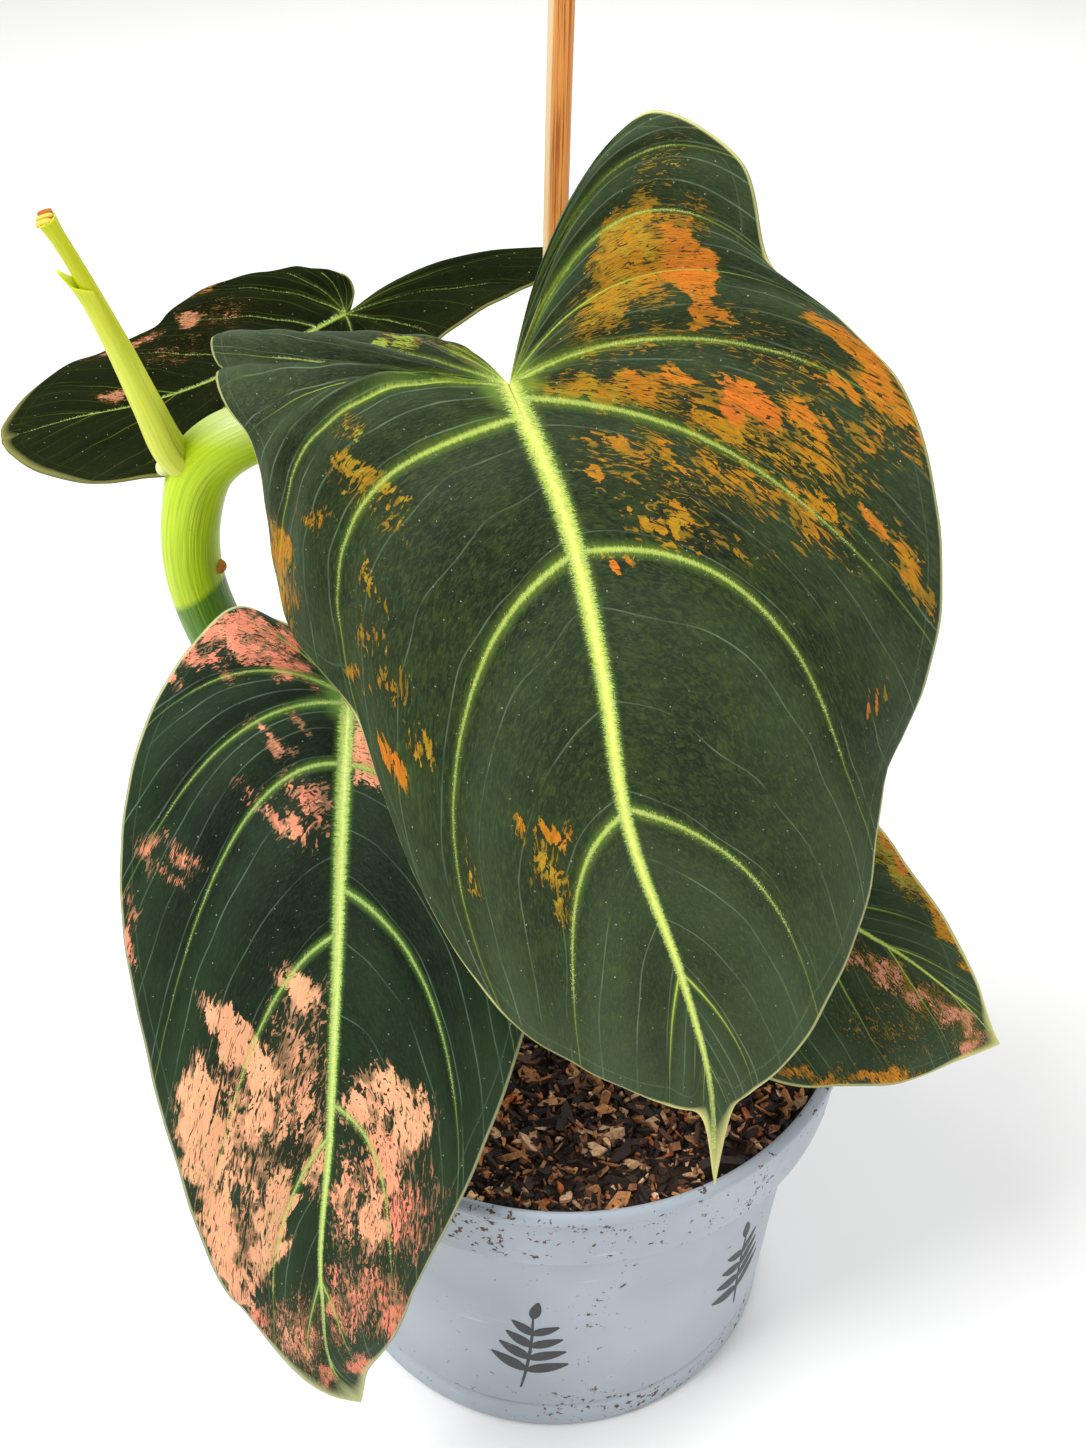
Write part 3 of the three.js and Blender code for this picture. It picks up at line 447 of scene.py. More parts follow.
side = np.arange(6)
shard_sides = np.stack([side, (side + 1) % 6, (side + 1) % 6 + 6, side + 6], axis=-1)
shard_caps = np.array([[3, 2, 1, 0], [5, 4, 3, 0], [6, 7, 8, 9], [6, 9, 10, 11]])
shard_faces = np.concatenate([shard_sides, shard_caps])
chips = shards(CHIP_COUNT, random)
chip_faces = shard_faces[None] + 12 * np.arange(CHIP_COUNT)[:, None, None]
browns = np.array([linear(code) for code in CHIP_BROWNS])
chip_browns = browns[random.choice(len(browns), CHIP_COUNT, p=CHIP_SHARES)]
chip_browns[:, :3] *= random.uniform(0.9, 1.4, (CHIP_COUNT, 1))
bark_chips = add_piece("bark_chips", chips.reshape(-1, 3), [chip_faces.reshape(-1, 4)], bark,
                       values={"chip colour": np.repeat(chip_browns, 12, axis=0)}, smooth=False)
stands_for(bark_chips, "potting_mix")


# Stake. A split of bamboo cane: its pale inner wall on one cut face, tan fibres with brown
# streaks along the rest, pushed upright into the soil.
STAKE_PLACE = (-5, 33)
STAKE_FOOT = 14
STAKE_TOP = 312
STAKE_OUTLINE = [(-2.1, -0.85), (-1.26, -1.7), (1.68, -1.53), (2.1, 0.17), (1.05, 1.45), (-0.63, 1.7),
                 (-2.1, 1.02)]

cane, cane_tree = new_material("split bamboo cane")
# Fibre bundles 0.3 mm wide run its whole length, from straw through orange-tan to brown.
around = add_node(cane_tree, "UVMap", uv_map="cane")
bundles = add_node(cane_tree, "Mapping", {"Vector": around, "Scale": (3.2, 0.05, 1)})
fibre = add_node(cane_tree, "TexNoise", {"Vector": bundles, "Scale": 1, "Detail": 4, "Roughness": 0.6})
coarse = add_node(cane_tree, "Mapping", {"Vector": around, "Scale": (0.9, 0.02, 1)})
band = add_node(cane_tree, "TexNoise", {"Vector": coarse, "Scale": 1, "Detail": 2})
streak = add_node(cane_tree, "MapRange", {"Value": fibre, "From Min": 0.5, "From Max": 0.6})
cut_side = add_node(cane_tree, "Attribute", attribute_name="cut face").outputs["Fac"]
cane_colour = "#E4842A"
for share, colour in ((band, "#F2AC5C"), (streak, "#B0601F"), (cut_side, "#EBC998")):
    cane_colour = add_node(cane_tree, "Mix", {"Factor": share, "A": cane_colour, "B": colour},
                           data_type="RGBA")
cane_bump = add_node(cane_tree, "Bump", {"Height": fibre, "Strength": 0.5, "Distance": 0.0003})
surface = add_node(cane_tree, "BsdfPrincipled",
                   {"Base Color": cane_colour, "Roughness": 0.5, "Normal": cane_bump})
add_node(cane_tree, "OutputMaterial", {"Surface": surface})

outline = np.array(STAKE_OUTLINE)
corner_next = np.roll(outline, -1, axis=0)
cane_share = np.array([0.12, 0.5, 0.88])[None, :, None]
cane_ring = (outline[:, None] * (1 - cane_share) + corner_next[:, None] * cane_share).reshape(-1, 2)
cane_levels = np.linspace(STAKE_FOOT, STAKE_TOP, 60)
ring_size = len(cane_ring)
cane_bow = 0.12 * np.sin(cane_levels / 23)[:, None]
cane_x = STAKE_PLACE[0] + cane_ring[None, :, 0] + cane_bow
cane_y = STAKE_PLACE[1] + cane_ring[None, :, 1] + 0 * cane_bow
cane_z = cane_levels[:, None] + 0 * cane_x
cane_tube = np.stack([cane_x, cane_y, cane_z], axis=-1)
cane_ends = cane_tube[[0, -1]].mean(axis=1)
cane_points = np.concatenate([cane_tube.reshape(-1, 3), cane_ends])
first_ring = np.arange(ring_size)
next_ring = np.roll(first_ring, -1)
last_ring = (len(cane_levels) - 1) * ring_size
foot_point, top_point = (np.full(ring_size, len(cane_points) - back) for back in (2, 1))
cane_foot = np.stack([next_ring, first_ring, foot_point], axis=-1)
cane_top = np.stack([first_ring + last_ring, next_ring + last_ring, top_point], axis=-1)
perimeter = np.cumsum(np.hypot(*np.diff(cane_ring, axis=0, prepend=cane_ring[:1]).T))
cane_map = np.stack([np.tile(perimeter, len(cane_levels)), cane_z.ravel()], axis=-1)
cane_map = np.concatenate([cane_map, [[0, STAKE_FOOT], [0, STAKE_TOP]]])
is_cut = np.tile(np.isin(first_ring // 3, [0, 6]).astype(float), len(cane_levels))
is_cut = np.concatenate([is_cut, [0.5, 0.5]])
cane_side = grid_faces(len(cane_levels), ring_size, closed=True)
stake = add_piece("bamboo_stake", cane_points, [cane_side, cane_foot, cane_top], cane,
                  maps={"cane": cane_map}, values={"cut face": is_cut})
stake.data.set_sharp_from_angle(angle=np.radians(25))
stands_for(stake, "bamboo", "stake")


# Stem. A climbing aroid's fleshy stalk: smooth yellow-green skin, older and deeper green below
# the slanting scar where a leaf once clasped it, with a dried root nub on its inner side.
STEM = [
    (-22, 6, 34, 5.6), (-25, 7, 80, 5.8), (-40, 9, 122, 5.4), (-58, 11, 152, 5.2), (-65.5, 12, 168, 5.2),
    (-68.3, 12, 182, 5.0), (-67.2, 12, 194, 5.0), (-63.8, 12, 203.5, 5.4), (-57, 12.5, 208.5, 5.2),
    (-47, 15, 209.5, 4.6), (-35, 19, 206, 4.4), (-24, 23, 198, 4.2), (-16, 26, 187, 3.4),
]
STEM_RINGS = [(0.36, 0.5), (0.56, 0.6), (0.84, 0.5)]


def through(rows, x):
    """Values at x of a smooth curve through rows of (key, values...): a cubic between two rows whose
    slope at a row is weighed from the two spans beside it, and a straight line past both ends."""
    rows = np.array(rows, float)
    key, value = rows[:, 0], rows[:, 1:]
    span = np.diff(key)[:, None]
    slope = np.diff(value, axis=0) / span
    inner = (slope[:-1] * span[1:] + slope[1:] * span[:-1]) / (span[:-1] + span[1:])
    tangent = np.concatenate([slope[:1], inner, slope[-1:]])
    x = np.asarray(x, float)
    held = np.clip(x, key[0], key[-1])
    i = np.clip(np.searchsorted(key, held) - 1, 0, len(key) - 2)
    width = span[i]
    u = ((held - key[i]) / width[..., 0])[..., None]
    curve = ((2 * u**3 - 3 * u**2 + 1) * value[i] + (u**3 - 2 * u**2 + u) * width * tangent[i]
             + (3 * u**2 - 2 * u**3) * value[i + 1] + (u**3 - u**2) * width * tangent[i + 1])
    return curve + (x - held)[..., None] * np.where(x[..., None] < key[0], tangent[0], tangent[-1])


def unit(vectors):
    """Vectors at length one."""
    return vectors / np.maximum(np.linalg.norm(vectors, axis=-1, keepdims=True), 1e-12)


def route(rows, steps):
    """Even steps along the smooth curve through rows of (x, y, z, radius): the points, the radius,
    the direction and the length run, the curve's pace between rows being the root of their distance."""
    rows = np.array(rows, float)
    pace = np.concatenate([[0], np.cumsum(np.sqrt(np.linalg.norm(np.diff(rows[:, :3], axis=0), axis=1)))])
    order = np.linspace(0, len(rows) - 1, 40 * len(rows))
    key = np.interp(order, np.arange(len(rows)), pace)
    points = through(np.column_stack([pace, rows[:, :3]]), key)
    radius = through(np.column_stack([np.arange(len(rows)), rows[:, 3]]), order)[:, 0]
    run = np.concatenate([[0], np.cumsum(np.linalg.norm(np.diff(points, axis=0), axis=1))])
    even = np.linspace(0, run[-1], steps)
    line = np.stack([np.interp(even, run, points[:, k]) for k in range(3)], axis=-1)
    return line, np.interp(even, run, radius), unit(np.gradient(line, axis=0)), even


def stalk(name, rows, material, steps, sides, aside, swell=None, rounded=0.0):
    """A closed tube along a route. Angle runs round each ring from the direction aside; swell(share,
    angle) adds to the radius in millimetres; rounded is how much of each end's radius is turned in."""
    line, radius, along, run = route(rows, steps)
    first = unit(np.cross(along, aside))
    second = np.cross(along, first)
    angle = 2 * np.pi * np.arange(sides)[None, :] / sides
    share = (run / run[-1])[:, None]
    width = radius[:, None] + (swell(share, angle) if swell else 0)
    if rounded:
        end_gap = np.minimum(run, run[-1] - run)[:, None] / (rounded * radius[:, None])
        width = width * np.sqrt(1 - np.clip(1 - end_gap, 0, 1) ** 2)
    beside = (np.cos(angle) * width)[..., None] * first[:, None]
    before = (np.sin(angle) * width)[..., None] * second[:, None]
    tube = line[:, None] + (beside + before)
    points = np.concatenate([tube.reshape(-1, 3), line[[0, -1]]])
    start, last = np.arange(sides), (steps - 1) * sides
    after = np.roll(start, -1)
    foot = np.stack([after, start, np.full(sides, len(points) - 2)], axis=-1)
    top = np.stack([start + last, after + last, np.full(sides, len(points) - 1)], axis=-1)
    seam = np.abs((angle + 0 * share) / np.pi - 1) * np.pi * radius[:, None]
    mapped = np.stack([seam, run[:, None] + 0 * seam], axis=-1).reshape(-1, 2)
    mapped = np.concatenate([mapped, [[0, 0], [0, run[-1]]]])
    return add_piece(name, points, [grid_faces(steps, sides, closed=True), foot, top], material,
                     maps={"skin": mapped})


def green_skin(name, young, old, streak_colour, change, freckle, gloss, slant=0.0, highlight_height=9.0):
    """Fleshy green skin: colour from old to young between two lengths in millimetres along the piece,
    a border that slants by so much a millimetre of x, with fine lengthwise striations 0.5 mm wide, a
    waxy gloss, and a painted highlight: a whitish top above a height in metres, where light falls on it."""
    material, tree = new_material(name)
    skin_map = add_node(tree, "UVMap", uv_map="skin")
    spot = add_node(tree, "TexCoord").outputs["Object"]
    length_run = add_node(tree, "SeparateXYZ", {"Vector": skin_map}).outputs["Y"]
    wander = add_node(tree, "TexNoise", {"Vector": spot, "Scale": 90, "Detail": 3})
    across = add_node(tree, "SeparateXYZ", {"Vector": spot}).outputs["X"]
    slanted = add_node(tree, "Math", {0: across, 1: -1000 * slant, 2: length_run}, operation="MULTIPLY_ADD")
    border = add_node(tree, "Math", {0: wander, 1: 3.0, 2: slanted}, operation="MULTIPLY_ADD")
    age = add_node(tree, "MapRange", {"Value": border, "From Min": change[0], "From Max": change[1]})
    drawn = add_node(tree, "Mapping", {"Vector": skin_map, "Scale": (2.0, 0.06, 1)})
    stria = add_node(tree, "TexNoise", {"Vector": drawn, "Scale": 1, "Detail": 3})
    stria_mask = add_node(tree, "MapRange",
                          {"Value": stria, "From Min": 0.42, "From Max": 0.72, "To Max": 0.7})
    grain = add_node(tree, "TexNoise", {"Vector": spot, "Scale": 900, "Detail": 2})
    dots = add_node(tree, "MapRange",
                    {"Value": grain, "From Min": 0.68, "From Max": 0.76, "To Max": freckle})
    height = add_node(tree, "SeparateXYZ", {"Vector": spot}).outputs["Z"]
    # Painted highlight: above the given height the skin is laid over with a whitish green, where the light
    # falls.
    painted_light_share = add_node(tree, "MapRange",
                           {"Value": height, "From Min": highlight_height, "From Max": highlight_height + 0.006,
                            "To Max": 0.75})
    skin = old
    layers = ((age, young), (stria_mask, streak_colour), (dots, "#6E7A2A"), (painted_light_share, "#E6ECB4"))
    for share, colour in layers:
        skin = add_node(tree, "Mix", {"Factor": share, "A": skin, "B": colour}, data_type="RGBA")
    bump = add_node(tree, "Bump", {"Height": stria, "Strength": 0.35, "Distance": 0.0006})
    surface = add_node(tree, "BsdfPrincipled",
                       {"Base Color": skin, "Roughness": gloss, "IOR": 1.42, "Subsurface Weight": 0.15,
                        "Subsurface Radius": (0.004, 0.006, 0.001), "Normal": bump})
    add_node(tree, "OutputMaterial", {"Surface": surface})
    return material


def stem_swell(share, angle):
    """Ring scars that stand out round the stem, each slanting by two millimetres, on a stem that is
    slightly flattened."""
    relief = 0.18 * np.cos(2 * angle) + 0 * share
    for at, height in STEM_RINGS:
        lean = 0.012 * np.cos(angle)
        gap = (share - at - lean) * 300
        relief = relief + height * np.exp(-(gap / 1.3) ** 2) - 0.35 * np.exp(-((gap - 2.6) / 1.2) ** 2)
    return relief


# The stem's top, above 208.5 mm on the bend, has the painted whitish highlight.
stem_skin = green_skin("stem skin, waxy green", "#C2DC12", "#47780F", "#8CB016", (188.5, 190), 0.3, 0.36,
                       slant=0.5, highlight_height=0.2085)
stem = stalk("main_stem", STEM, stem_skin, 260, 40, (0, 1, 0), stem_swell, rounded=0.5)
stands_for(stem, "stem_skin", "stem")

# Root nub. A dried brown aerial root, broken off short on the stem's inner side.
NUB_PLACE = np.array([-63.3, 11.2, 182.8])
dry_root = green_skin("dried root cork", "#C4761F", "#9A5A1E", "#CF9347", (0, 1), 0.6, 0.8)
nub_rows = [(*(NUB_PLACE + [-1.5, 0, 0.2]), 1.5), (*NUB_PLACE, 1.5),
            (*(NUB_PLACE + [1.0, -0.3, -0.4]), 1.1)]
root_nub = stalk("root_nub", nub_rows, dry_root, 14, 14, (0, 1, 0), rounded=1.0)
stands_for(root_nub, "stem_skin")


# Cut petiole. The pale stub of a leaf stalk that was cut off slantwise: grooved and lime-yellow,
# with a dry orange-tan end, and the clasping sheath's free flap along its side.
CUT_PETIOLE = [
    (-65.5, 12, 202.5, 3), (-68.3, 10.3, 206.3, 2.8), (-70.5, 7, 216.7, 2.2), (-73, 4, 228.6, 1.7),
    (-76, 1, 240.3, 1.4), (-77.8, -1, 246.8, 1.35), (-79.3, -2, 251, 1.45),
]


def stub_swell(share, angle):
    """A shallow groove down one side and a lip that frays outward at the cut."""
    groove = -0.35 * np.exp(-((np.mod(angle + 1.2, 2 * np.pi) - np.pi) / 0.5) ** 2)
    fray = 0.15 * np.clip((share - 0.95) / 0.05, 0, 1) * (1 + 0.8 * np.sin(5 * angle))
    return groove + fray


stub_skin = green_skin("cut petiole skin, lime-yellow", "#D8DC12", "#E0E84A", "#C0D022", (26, 44), 0.1,
                       0.34)
cut_petiole = stalk("cut_stub", CUT_PETIOLE, stub_skin, 120, 32, (1, 0, 0), stub_swell)
stands_for(cut_petiole, "cut_petiole_skin", "cut_petiole")

# Cut end. The wound has dried into a brown plug under three curled lips that lie across it, the
# hindmost orange-brown and the front ones straw-coloured.
dry_cut = green_skin("dried cut tissue", "#B4621C", "#8E4A16", "#D08A3C", (0, 1), 0.8, 0.85)
straw_cut = green_skin("dried lip, straw-coloured", "#E6C24A", "#CF9A2C", "#F0D878", (0, 1), 0.4, 0.7)
CUT_PLACE = np.array([-79.35, -2.05, 251.1])
LIP_ALONG = np.array([0.944, -0.077, 0.322])
LIP_BACK = np.array([0, 0.975, 0.233])
CUT_LIPS = [  # how far back and up, half length, radius and skin
    (0.75, 0.45, 1.25, 0.5, dry_cut), (-0.05, 0.3, 1.45, 0.4, straw_cut),
    (-0.8, -0.1, 1.3, 0.5, straw_cut),
]
plug_rows = [(-79.1, -1.9, 250.3, 1.4), (-79.3, -2, 251.0, 1.5), (-79.4, -2.1, 251.3, 1.3)]
cut_plug = stalk("cut_end", plug_rows, dry_cut, 12, 24, (1, 0, 0), rounded=0.3)
stands_for(cut_plug, "cut_petiole_skin")
for number, (back, up, half_length, radius, lip_skin) in enumerate(CUT_LIPS, 1):
    middle = CUT_PLACE + back * LIP_BACK + [0, 0, up]
    reach = half_length * LIP_ALONG
    lip_rows = [(*(middle - reach - [0, 0, 0.15]), radius), (*middle, radius),
                (*(middle + reach), 0.8 * radius)]
    lip = stalk(f"cut_lip_{number}", lip_rows, lip_skin, 14, 12, (0, 1, 0), rounded=1.0)
    stands_for(lip, "cut_petiole_skin")

SHEATH_FROM = 0.1
SHEATH_TO = 0.65
SHEATH_TIP = 0.745
SHEATH_HALF_ANGLE = np.radians(118)
SHEATH_THICKNESS = 0.7
SHEATH_FLARE = 1.1
SHEATH_ROWS = 49
SHEATH_COLUMNS = 50


def sheath_sheet(across, up):
    """A strip rolled round the stub. across runs from -1 to 1 round it and up from 0 to 1 along it,
    to an edge that rises to a rounded free tip in the middle, which curls off the stub."""
    rise = 0.45 * (1 - np.abs(across)) + 0.55 * np.exp(-(across / 0.24) ** 2)
    top = SHEATH_TO + (SHEATH_TIP - SHEATH_TO) * rise
    share = SHEATH_FROM + (top - SHEATH_FROM) * up
    stub = np.array(CUT_PETIOLE, float)
    pace = np.concatenate([[0], np.cumsum(np.sqrt(np.linalg.norm(np.diff(stub[:, :3], axis=0), axis=1)))])
    order = share * (len(stub) - 1)
    place = np.column_stack([pace, stub[:, :3]])
    key = np.interp(order, np.arange(len(stub)), pace)
    middle = through(place, key)
    along = unit(through(place, key + 0.05) - through(place, key - 0.05))
    outward = np.array([-1, -0.3, 0])
    outward = unit(outward - (along @ outward)[..., None] * along)
    sideways = np.cross(along, outward)
    radius = through(np.column_stack([np.arange(len(stub)), stub[:, 3]]), order)[..., 0]
    flare = SHEATH_FLARE * np.clip(up / 0.2 - 4, 0, 1) ** 2 * np.exp(-(across / 0.4) ** 2)
    distance = radius + SHEATH_THICKNESS / 2 + flare
    angle = SHEATH_HALF_ANGLE * across
    outer = np.cos(angle)[..., None] * outward + np.sin(angle)[..., None] * sideways
    return middle + distance[..., None] * outer, outer


across, up = np.meshgrid(np.linspace(-1, 1, SHEATH_ROWS), np.linspace(0, 1, SHEATH_COLUMNS), indexing="ij")
sheath_middle, sheath_out = sheath_sheet(across, up)
fullness = np.clip(1.02 - np.maximum(np.abs(across), up) ** 6, 0.02, 1)
thin = 0.5 * SHEATH_THICKNESS * np.sqrt(fullness)[..., None]
sheath_points, sheath_faces = closed_sheet(sheath_middle + thin * sheath_out,
                                           sheath_middle - thin * sheath_out, SHEATH_ROWS, SHEATH_COLUMNS)
sheath_map = np.tile(np.stack([across * 6, up * 36], axis=-1).reshape(-1, 2), (2, 1))
sheath = add_piece("sheath_flap", sheath_points, [part[:, ::-1] for part in sheath_faces], stub_skin,
                   maps={"skin": sheath_map})
stands_for(sheath, "cut_petiole_skin", "petiole_sheath")

# Bud. A small pale resting bud where the stub leaves the stem.
bud_skin = green_skin("bud scale, pale green", "#DDE79A", "#C9DC6A", "#EEF0C0", (0, 3), 0.2, 0.4)
bud_rows = [(-69.9, 10.4, 202.6, 1.1), (-70.5, 9.8, 203.4, 1.35), (-71.2, 9.4, 204.8, 0.7)]
bud = stalk("resting_bud", bud_rows, bud_skin, 16, 16, (0, 1, 0), rounded=1.0)
stands_for(bud, "petiole_skin", "stem_bud")


# Leaf blades. Each is one thin, velvety, heart-shaped leaf: dark green tissue quilted between
# lime veins, a fuzzy pale midrib, a fine cream margin, and gold or salmon variegation in streaks.
BLADE_THICKNESS = 0.9
RIB_HEIGHT = 1.6
LEAF_VALUES = ("spacing", "margin", "midrib", "patch", "warmth", "strength", "back")  # held by each point

FRONT_MIDRIB = [
    (0, -11.3, -12, 231.6), (20, -3, -21, 216), (45, 3.6, -32, 195.2), (70, 8.6, -43, 172.5),
    (97, 18, -54, 150.6), (117, 23.6, -61, 132.9), (136, 25.6, -66, 114.7),
]
FRONT_BLADE = {
    "fur width": 2.3,
    "puff": 1.6, "wave": (1.2, 4),
    "vein strength": (0, 0.2, 0.3, 0.4, 0.9, 0.9, 0.3, 1, 1, 1, 0.9, 0.4, 0.1, 0),
    "midrib": FRONT_MIDRIB,
    "lobes": {
        -1: [(-40, -27, 24, 220), (-20, -19.5, 5.5, 228.6), (-8, -14.7, -6, 232.8)],
        1: [(-40, -28, 6, 262.5), (-20, -19.5, -3, 247)],
    },
    "faces": [(0, 0, -1, 0.6), (136, 0, -1, 0.6)],
    "reach": 12,
    "fold": {
        -1: [(0, -5, 10, 35, 10, 43), (8, -5, 12, 35, 28, 33), (20, -5, 12, 35, 50, 28),
             (60, -5, 15, 30, 70, 14), (100, 5, 25, 30, 30, 5), (136, 0, 45, 30, 45, 0)],
        1: [(0, 10, 10, 30, 25, 0), (40, 10, 17, 32, 32, 0), (80, 6, 30, 30, 42, 0),
            (110, 4, 40, 30, 50, 0), (136, 0, 45, 30, 45, 0)],
    },
    "veins": {
        -1: [(0, 0, 0, 0, 0), (0, 2, -6, 3, -13), (0, 5, -14, 10, -24), (0, 12, -20, 26, -28),
             (0, 20, -9, 42, -24), (0, 26, -2, 52.5, -5), (0, 32, -2, 49.8, 17), (0, 37, -2, 55.5, 46),
             (5, 50, 24, 40.5, 60), (27, 32, 50, 29.5, 98), (68, 16, 78, 20, 111), (96, 6, 108, 7, 120),
             (112, 1.5, 118, 1.8, 124), (138, 0, 138, 0, 138)],
        1: [(0, 0, 0, 0, 0), (0, 5, -6, 13, -13), (0, 10, -14, 23, -22), (0, 18, -26, 34, -27),
            (0, 27, -35, 43, -15), (0, 28, -30, 42, 0), (0, 27, -18, 49, 12), (0, 25, -4, 54, 25),
            (2, 28, 15, 52, 52), (27, 38, 31, 36, 91), (67, 20, 76, 19, 110), (96, 6, 107, 7, 120),
            (112, 1.8, 118, 3, 124), (138, 0, 138, 0, 138)],
    },
}

LEFT_LOBES = [(-30, -39.5, 7, 192.5), (-12, -37.7, -7.5, 184.2)]
LEFT_FOLD = [(0, 12, 30, 30, 40, 10), (60, 12, 30, 30, 40, 0), (110, 10, 30, 30, 40, 0),
             (150, 5, 40, 30, 45, 0)]
LEFT_BLADE = {
    "fur width": 1.7,
    "puff": 1.3, "wave": (0.9, 4),
    "vein strength": (0, 0.2, 0.3, 0.4, 0.9, 1, 1, 1, 0.9, 0.5, 0.2, 0),
    "midrib": [
        (0, -37.9, -16, 175.2), (17, -38.3, -27, 162), (43, -38.6, -42, 141.6), (75, -39.7, -58, 113.9),
        (107, -41.6, -70, 84), (131, -38.3, -75, 61), (136, -35.5, -75.5, 56),
    ],
    "lobes": {-1: LEFT_LOBES, 1: LEFT_LOBES},
    "faces": [(0, 0.05, -1, 0.6), (140, 0, -1, 0.5)],
    "reach": 0.5,
    "fold": {-1: LEFT_FOLD, 1: LEFT_FOLD},
    "veins": {
        -1: [(0, 0, 0, 0, 0), (0, 3, -5, 6, -7), (0, 7, -8, 13, -10), (0, 12, -9, 22, -9),
             (0, 17, -7, 34, 12), (1, 21, 2.5, 37, 38), (11, 21, 12, 30, 68), (40, 17, 50, 20, 98),
             (76, 9, 86, 9, 121), (104, 4, 116, 4, 130), (122, 0.8, 129, 1.6, 134), (136, 0, 136, 0, 136)],
        1: [(0, 0, 0, 0, 0), (0, 3, -5, 6, -7), (0, 7, -8, 13, -10), (0, 12, -9, 22, -9),
            (0, 17, -7, 33, 10), (1, 21, 3, 36, 34), (11, 20, 14, 31, 60), (32, 22, 44, 23, 87),
            (70, 14, 75, 13, 116), (104, 4, 116, 5, 130), (122, 0.8, 129, 2, 134), (136, 0, 136, 0, 136)],
    },
}

BACK_FOLD = [(0, 5, 10, 30, 10, 0), (60, 5, 10, 30, 10, 0)]
BACK_BLADE = {
    "fur width": 1.0,
    "puff": 1.2, "wave": (0.8, 3),
    "vein strength": (0, 0.3, 0.6, 0.8, 0.9, 0.9, 0.9, 0.8, 0.6, 0.3, 0),
    "midrib": [
        (0, -45.5, 64, 206.9), (16, -58.6, 57, 202.3), (31, -71.7, 50, 198.3), (45, -84.2, 45, 195.9),
        (56, -93.9, 40.4, 195.6), (69, -105.6, 34.3, 194.2),
    ],
    "lobes": {
        -1: [(-30, -21, 77, 215)],
        1: [(-41, -8.2, 81, 217.5), (-20, -28.5, 74, 214.2), (-8, -39, 68, 210.6)],
    },
    "faces": [(0, 0, -0.05, 1), (70, 0, -0.05, 1)],
    "reach": 0.5,
    "fold": {-1: BACK_FOLD, 1: BACK_FOLD},
    "veins": {
        -1: [(0, 0, 0, 0, 0), (0, 3, -3, 6, -5), (0, 6, -4, 13, -5), (0, 12, -4, 21, -1),
             (0, 15, -1, 26, 7), (0, 18, 4, 29.5, 21), (6, 18, 15, 27, 36), (19, 16, 32, 21, 50),
             (36, 10, 48, 12, 62), (52, 4, 61, 5, 68.5), (70, 0, 70, 0, 70)],
        1: [(0, 0, 0, 0, 0), (0, 1, -12, 2, -26), (0, 6, -22, 8, -41), (0, 13, -19, 21, -29),
            (0, 17, -8, 26, -8), (0, 20, 4, 28, 15), (6, 21, 21, 28, 38), (19, 20, 36, 26, 57),
            (36, 12, 52, 16, 66), (52, 5, 63, 6, 69.5), (70, 0, 70, 0, 70)],
    },
}

RIGHT_LOBES = [(-40, -16, 20, 156)]
RIGHT_FOLD = [(0, 8, 25, 30, 20, 0), (90, 8, 35, 30, 30, 0)]
RIGHT_BLADE = {
    "fur width": 1.0,
    "puff": 1.1, "wave": (0.9, 3),
    "vein strength": (0, 0.2, 0.4, 0.8, 0.9, 0.9, 0.9, 0.9, 0.7, 0.4, 0.2, 0),
    "midrib": [
        (0, 15.4, 0, 143.8), (20, 31.2, -10, 137.6), (44, 52.1, -20, 128.8), (58, 64, -25, 123.9),
        (68, 72.5, -28.5, 118.5), (83, 81, -31, 109.9),
    ],
    "lobes": {-1: RIGHT_LOBES, 1: RIGHT_LOBES},
    "faces": [(0, 0.1, -0.7, 0.7), (90, 0.1, -0.7, 0.7)],
    "reach": 0.5,
    "fold": {-1: RIGHT_FOLD, 1: RIGHT_FOLD},
    "veins": {
        -1: [(0, 0, 0, 0, 0), (0, 3, -6, 5, -10), (0, 8, -10, 14, -15), (0, 15, -10, 25, -9),
             (0, 19, -4, 32, 6), (0, 22, 6, 34, 24), (6, 22, 14, 33, 42), (20, 20, 30, 28, 57),
             (36, 14, 48, 19, 69), (52, 6, 64, 9, 77), (66, 2, 75, 3, 82), (84, 0, 84, 0, 84)],
        1: [(0, 0, 0, 0, 0), (0, 3, -6, 5, -10), (0, 8, -10, 13, -15), (0, 13, -9, 22, -8),
            (0, 16, -3, 25, 6), (0, 16, 4, 24, 22), (6, 15, 12, 20, 36), (20, 11, 28, 14, 50),
            (36, 6, 46, 8, 62), (52, 3, 62, 3.5, 72), (66, 1, 73, 1.2, 79), (84, 0, 84, 0, 84)],
    },
}


def leaf_frame(blade, side, b):
    """Directions across, along and out of the upper face of one half's course at b millimetres, the
    course's direction being taken over a reach to both sides of b."""
    course = blade["lobes"][side] + blade["midrib"]
    along = unit(through(course, b + blade["reach"]) - through(course, b - blade["reach"]))
    out = through(blade["faces"], b)
    out = unit(out - (out * along).sum(-1, keepdims=True) * along)
    return side * np.cross(out, along), along, out


def leaf_sheet(blade, side, s, b):
    """Points of the bent leaf at s across from the midrib and b along it. Each cross line leaves the
    midrib at a slope and bends down as two arcs, one up to the crease and one beyond it; in the
    lobes, where b is below zero, the cross lines keep the directions of the petiole's joint."""
    level = np.maximum(b, 0)
    across, along, out = leaf_frame(blade, side, level)
    start = np.where((b < 0)[..., None], through(blade["lobes"][side] + blade["midrib"], b),
                     through(blade["midrib"], b))
    rise, bend, crease, beyond, sweep = np.moveaxis(through(blade["fold"][side], level), -1, 0)
    lean = np.radians(sweep)[..., None]
    across = np.cos(lean) * across - np.sin(lean) * along
    angle = np.radians(rise)
    reach = 0
    lift = 0
    for length, degrees in ((np.minimum(s, crease), bend), (np.maximum(s - crease, 0), beyond)):
        turn = np.maximum(np.radians(degrees) / 50, 1e-5)
        reach = reach + (np.sin(angle) - np.sin(angle - turn * length)) / turn
        lift = lift + (np.cos(angle - turn * length) - np.cos(angle)) / turn
        angle = angle - turn * length
    return start + reach[..., None] * across + lift[..., None] * out


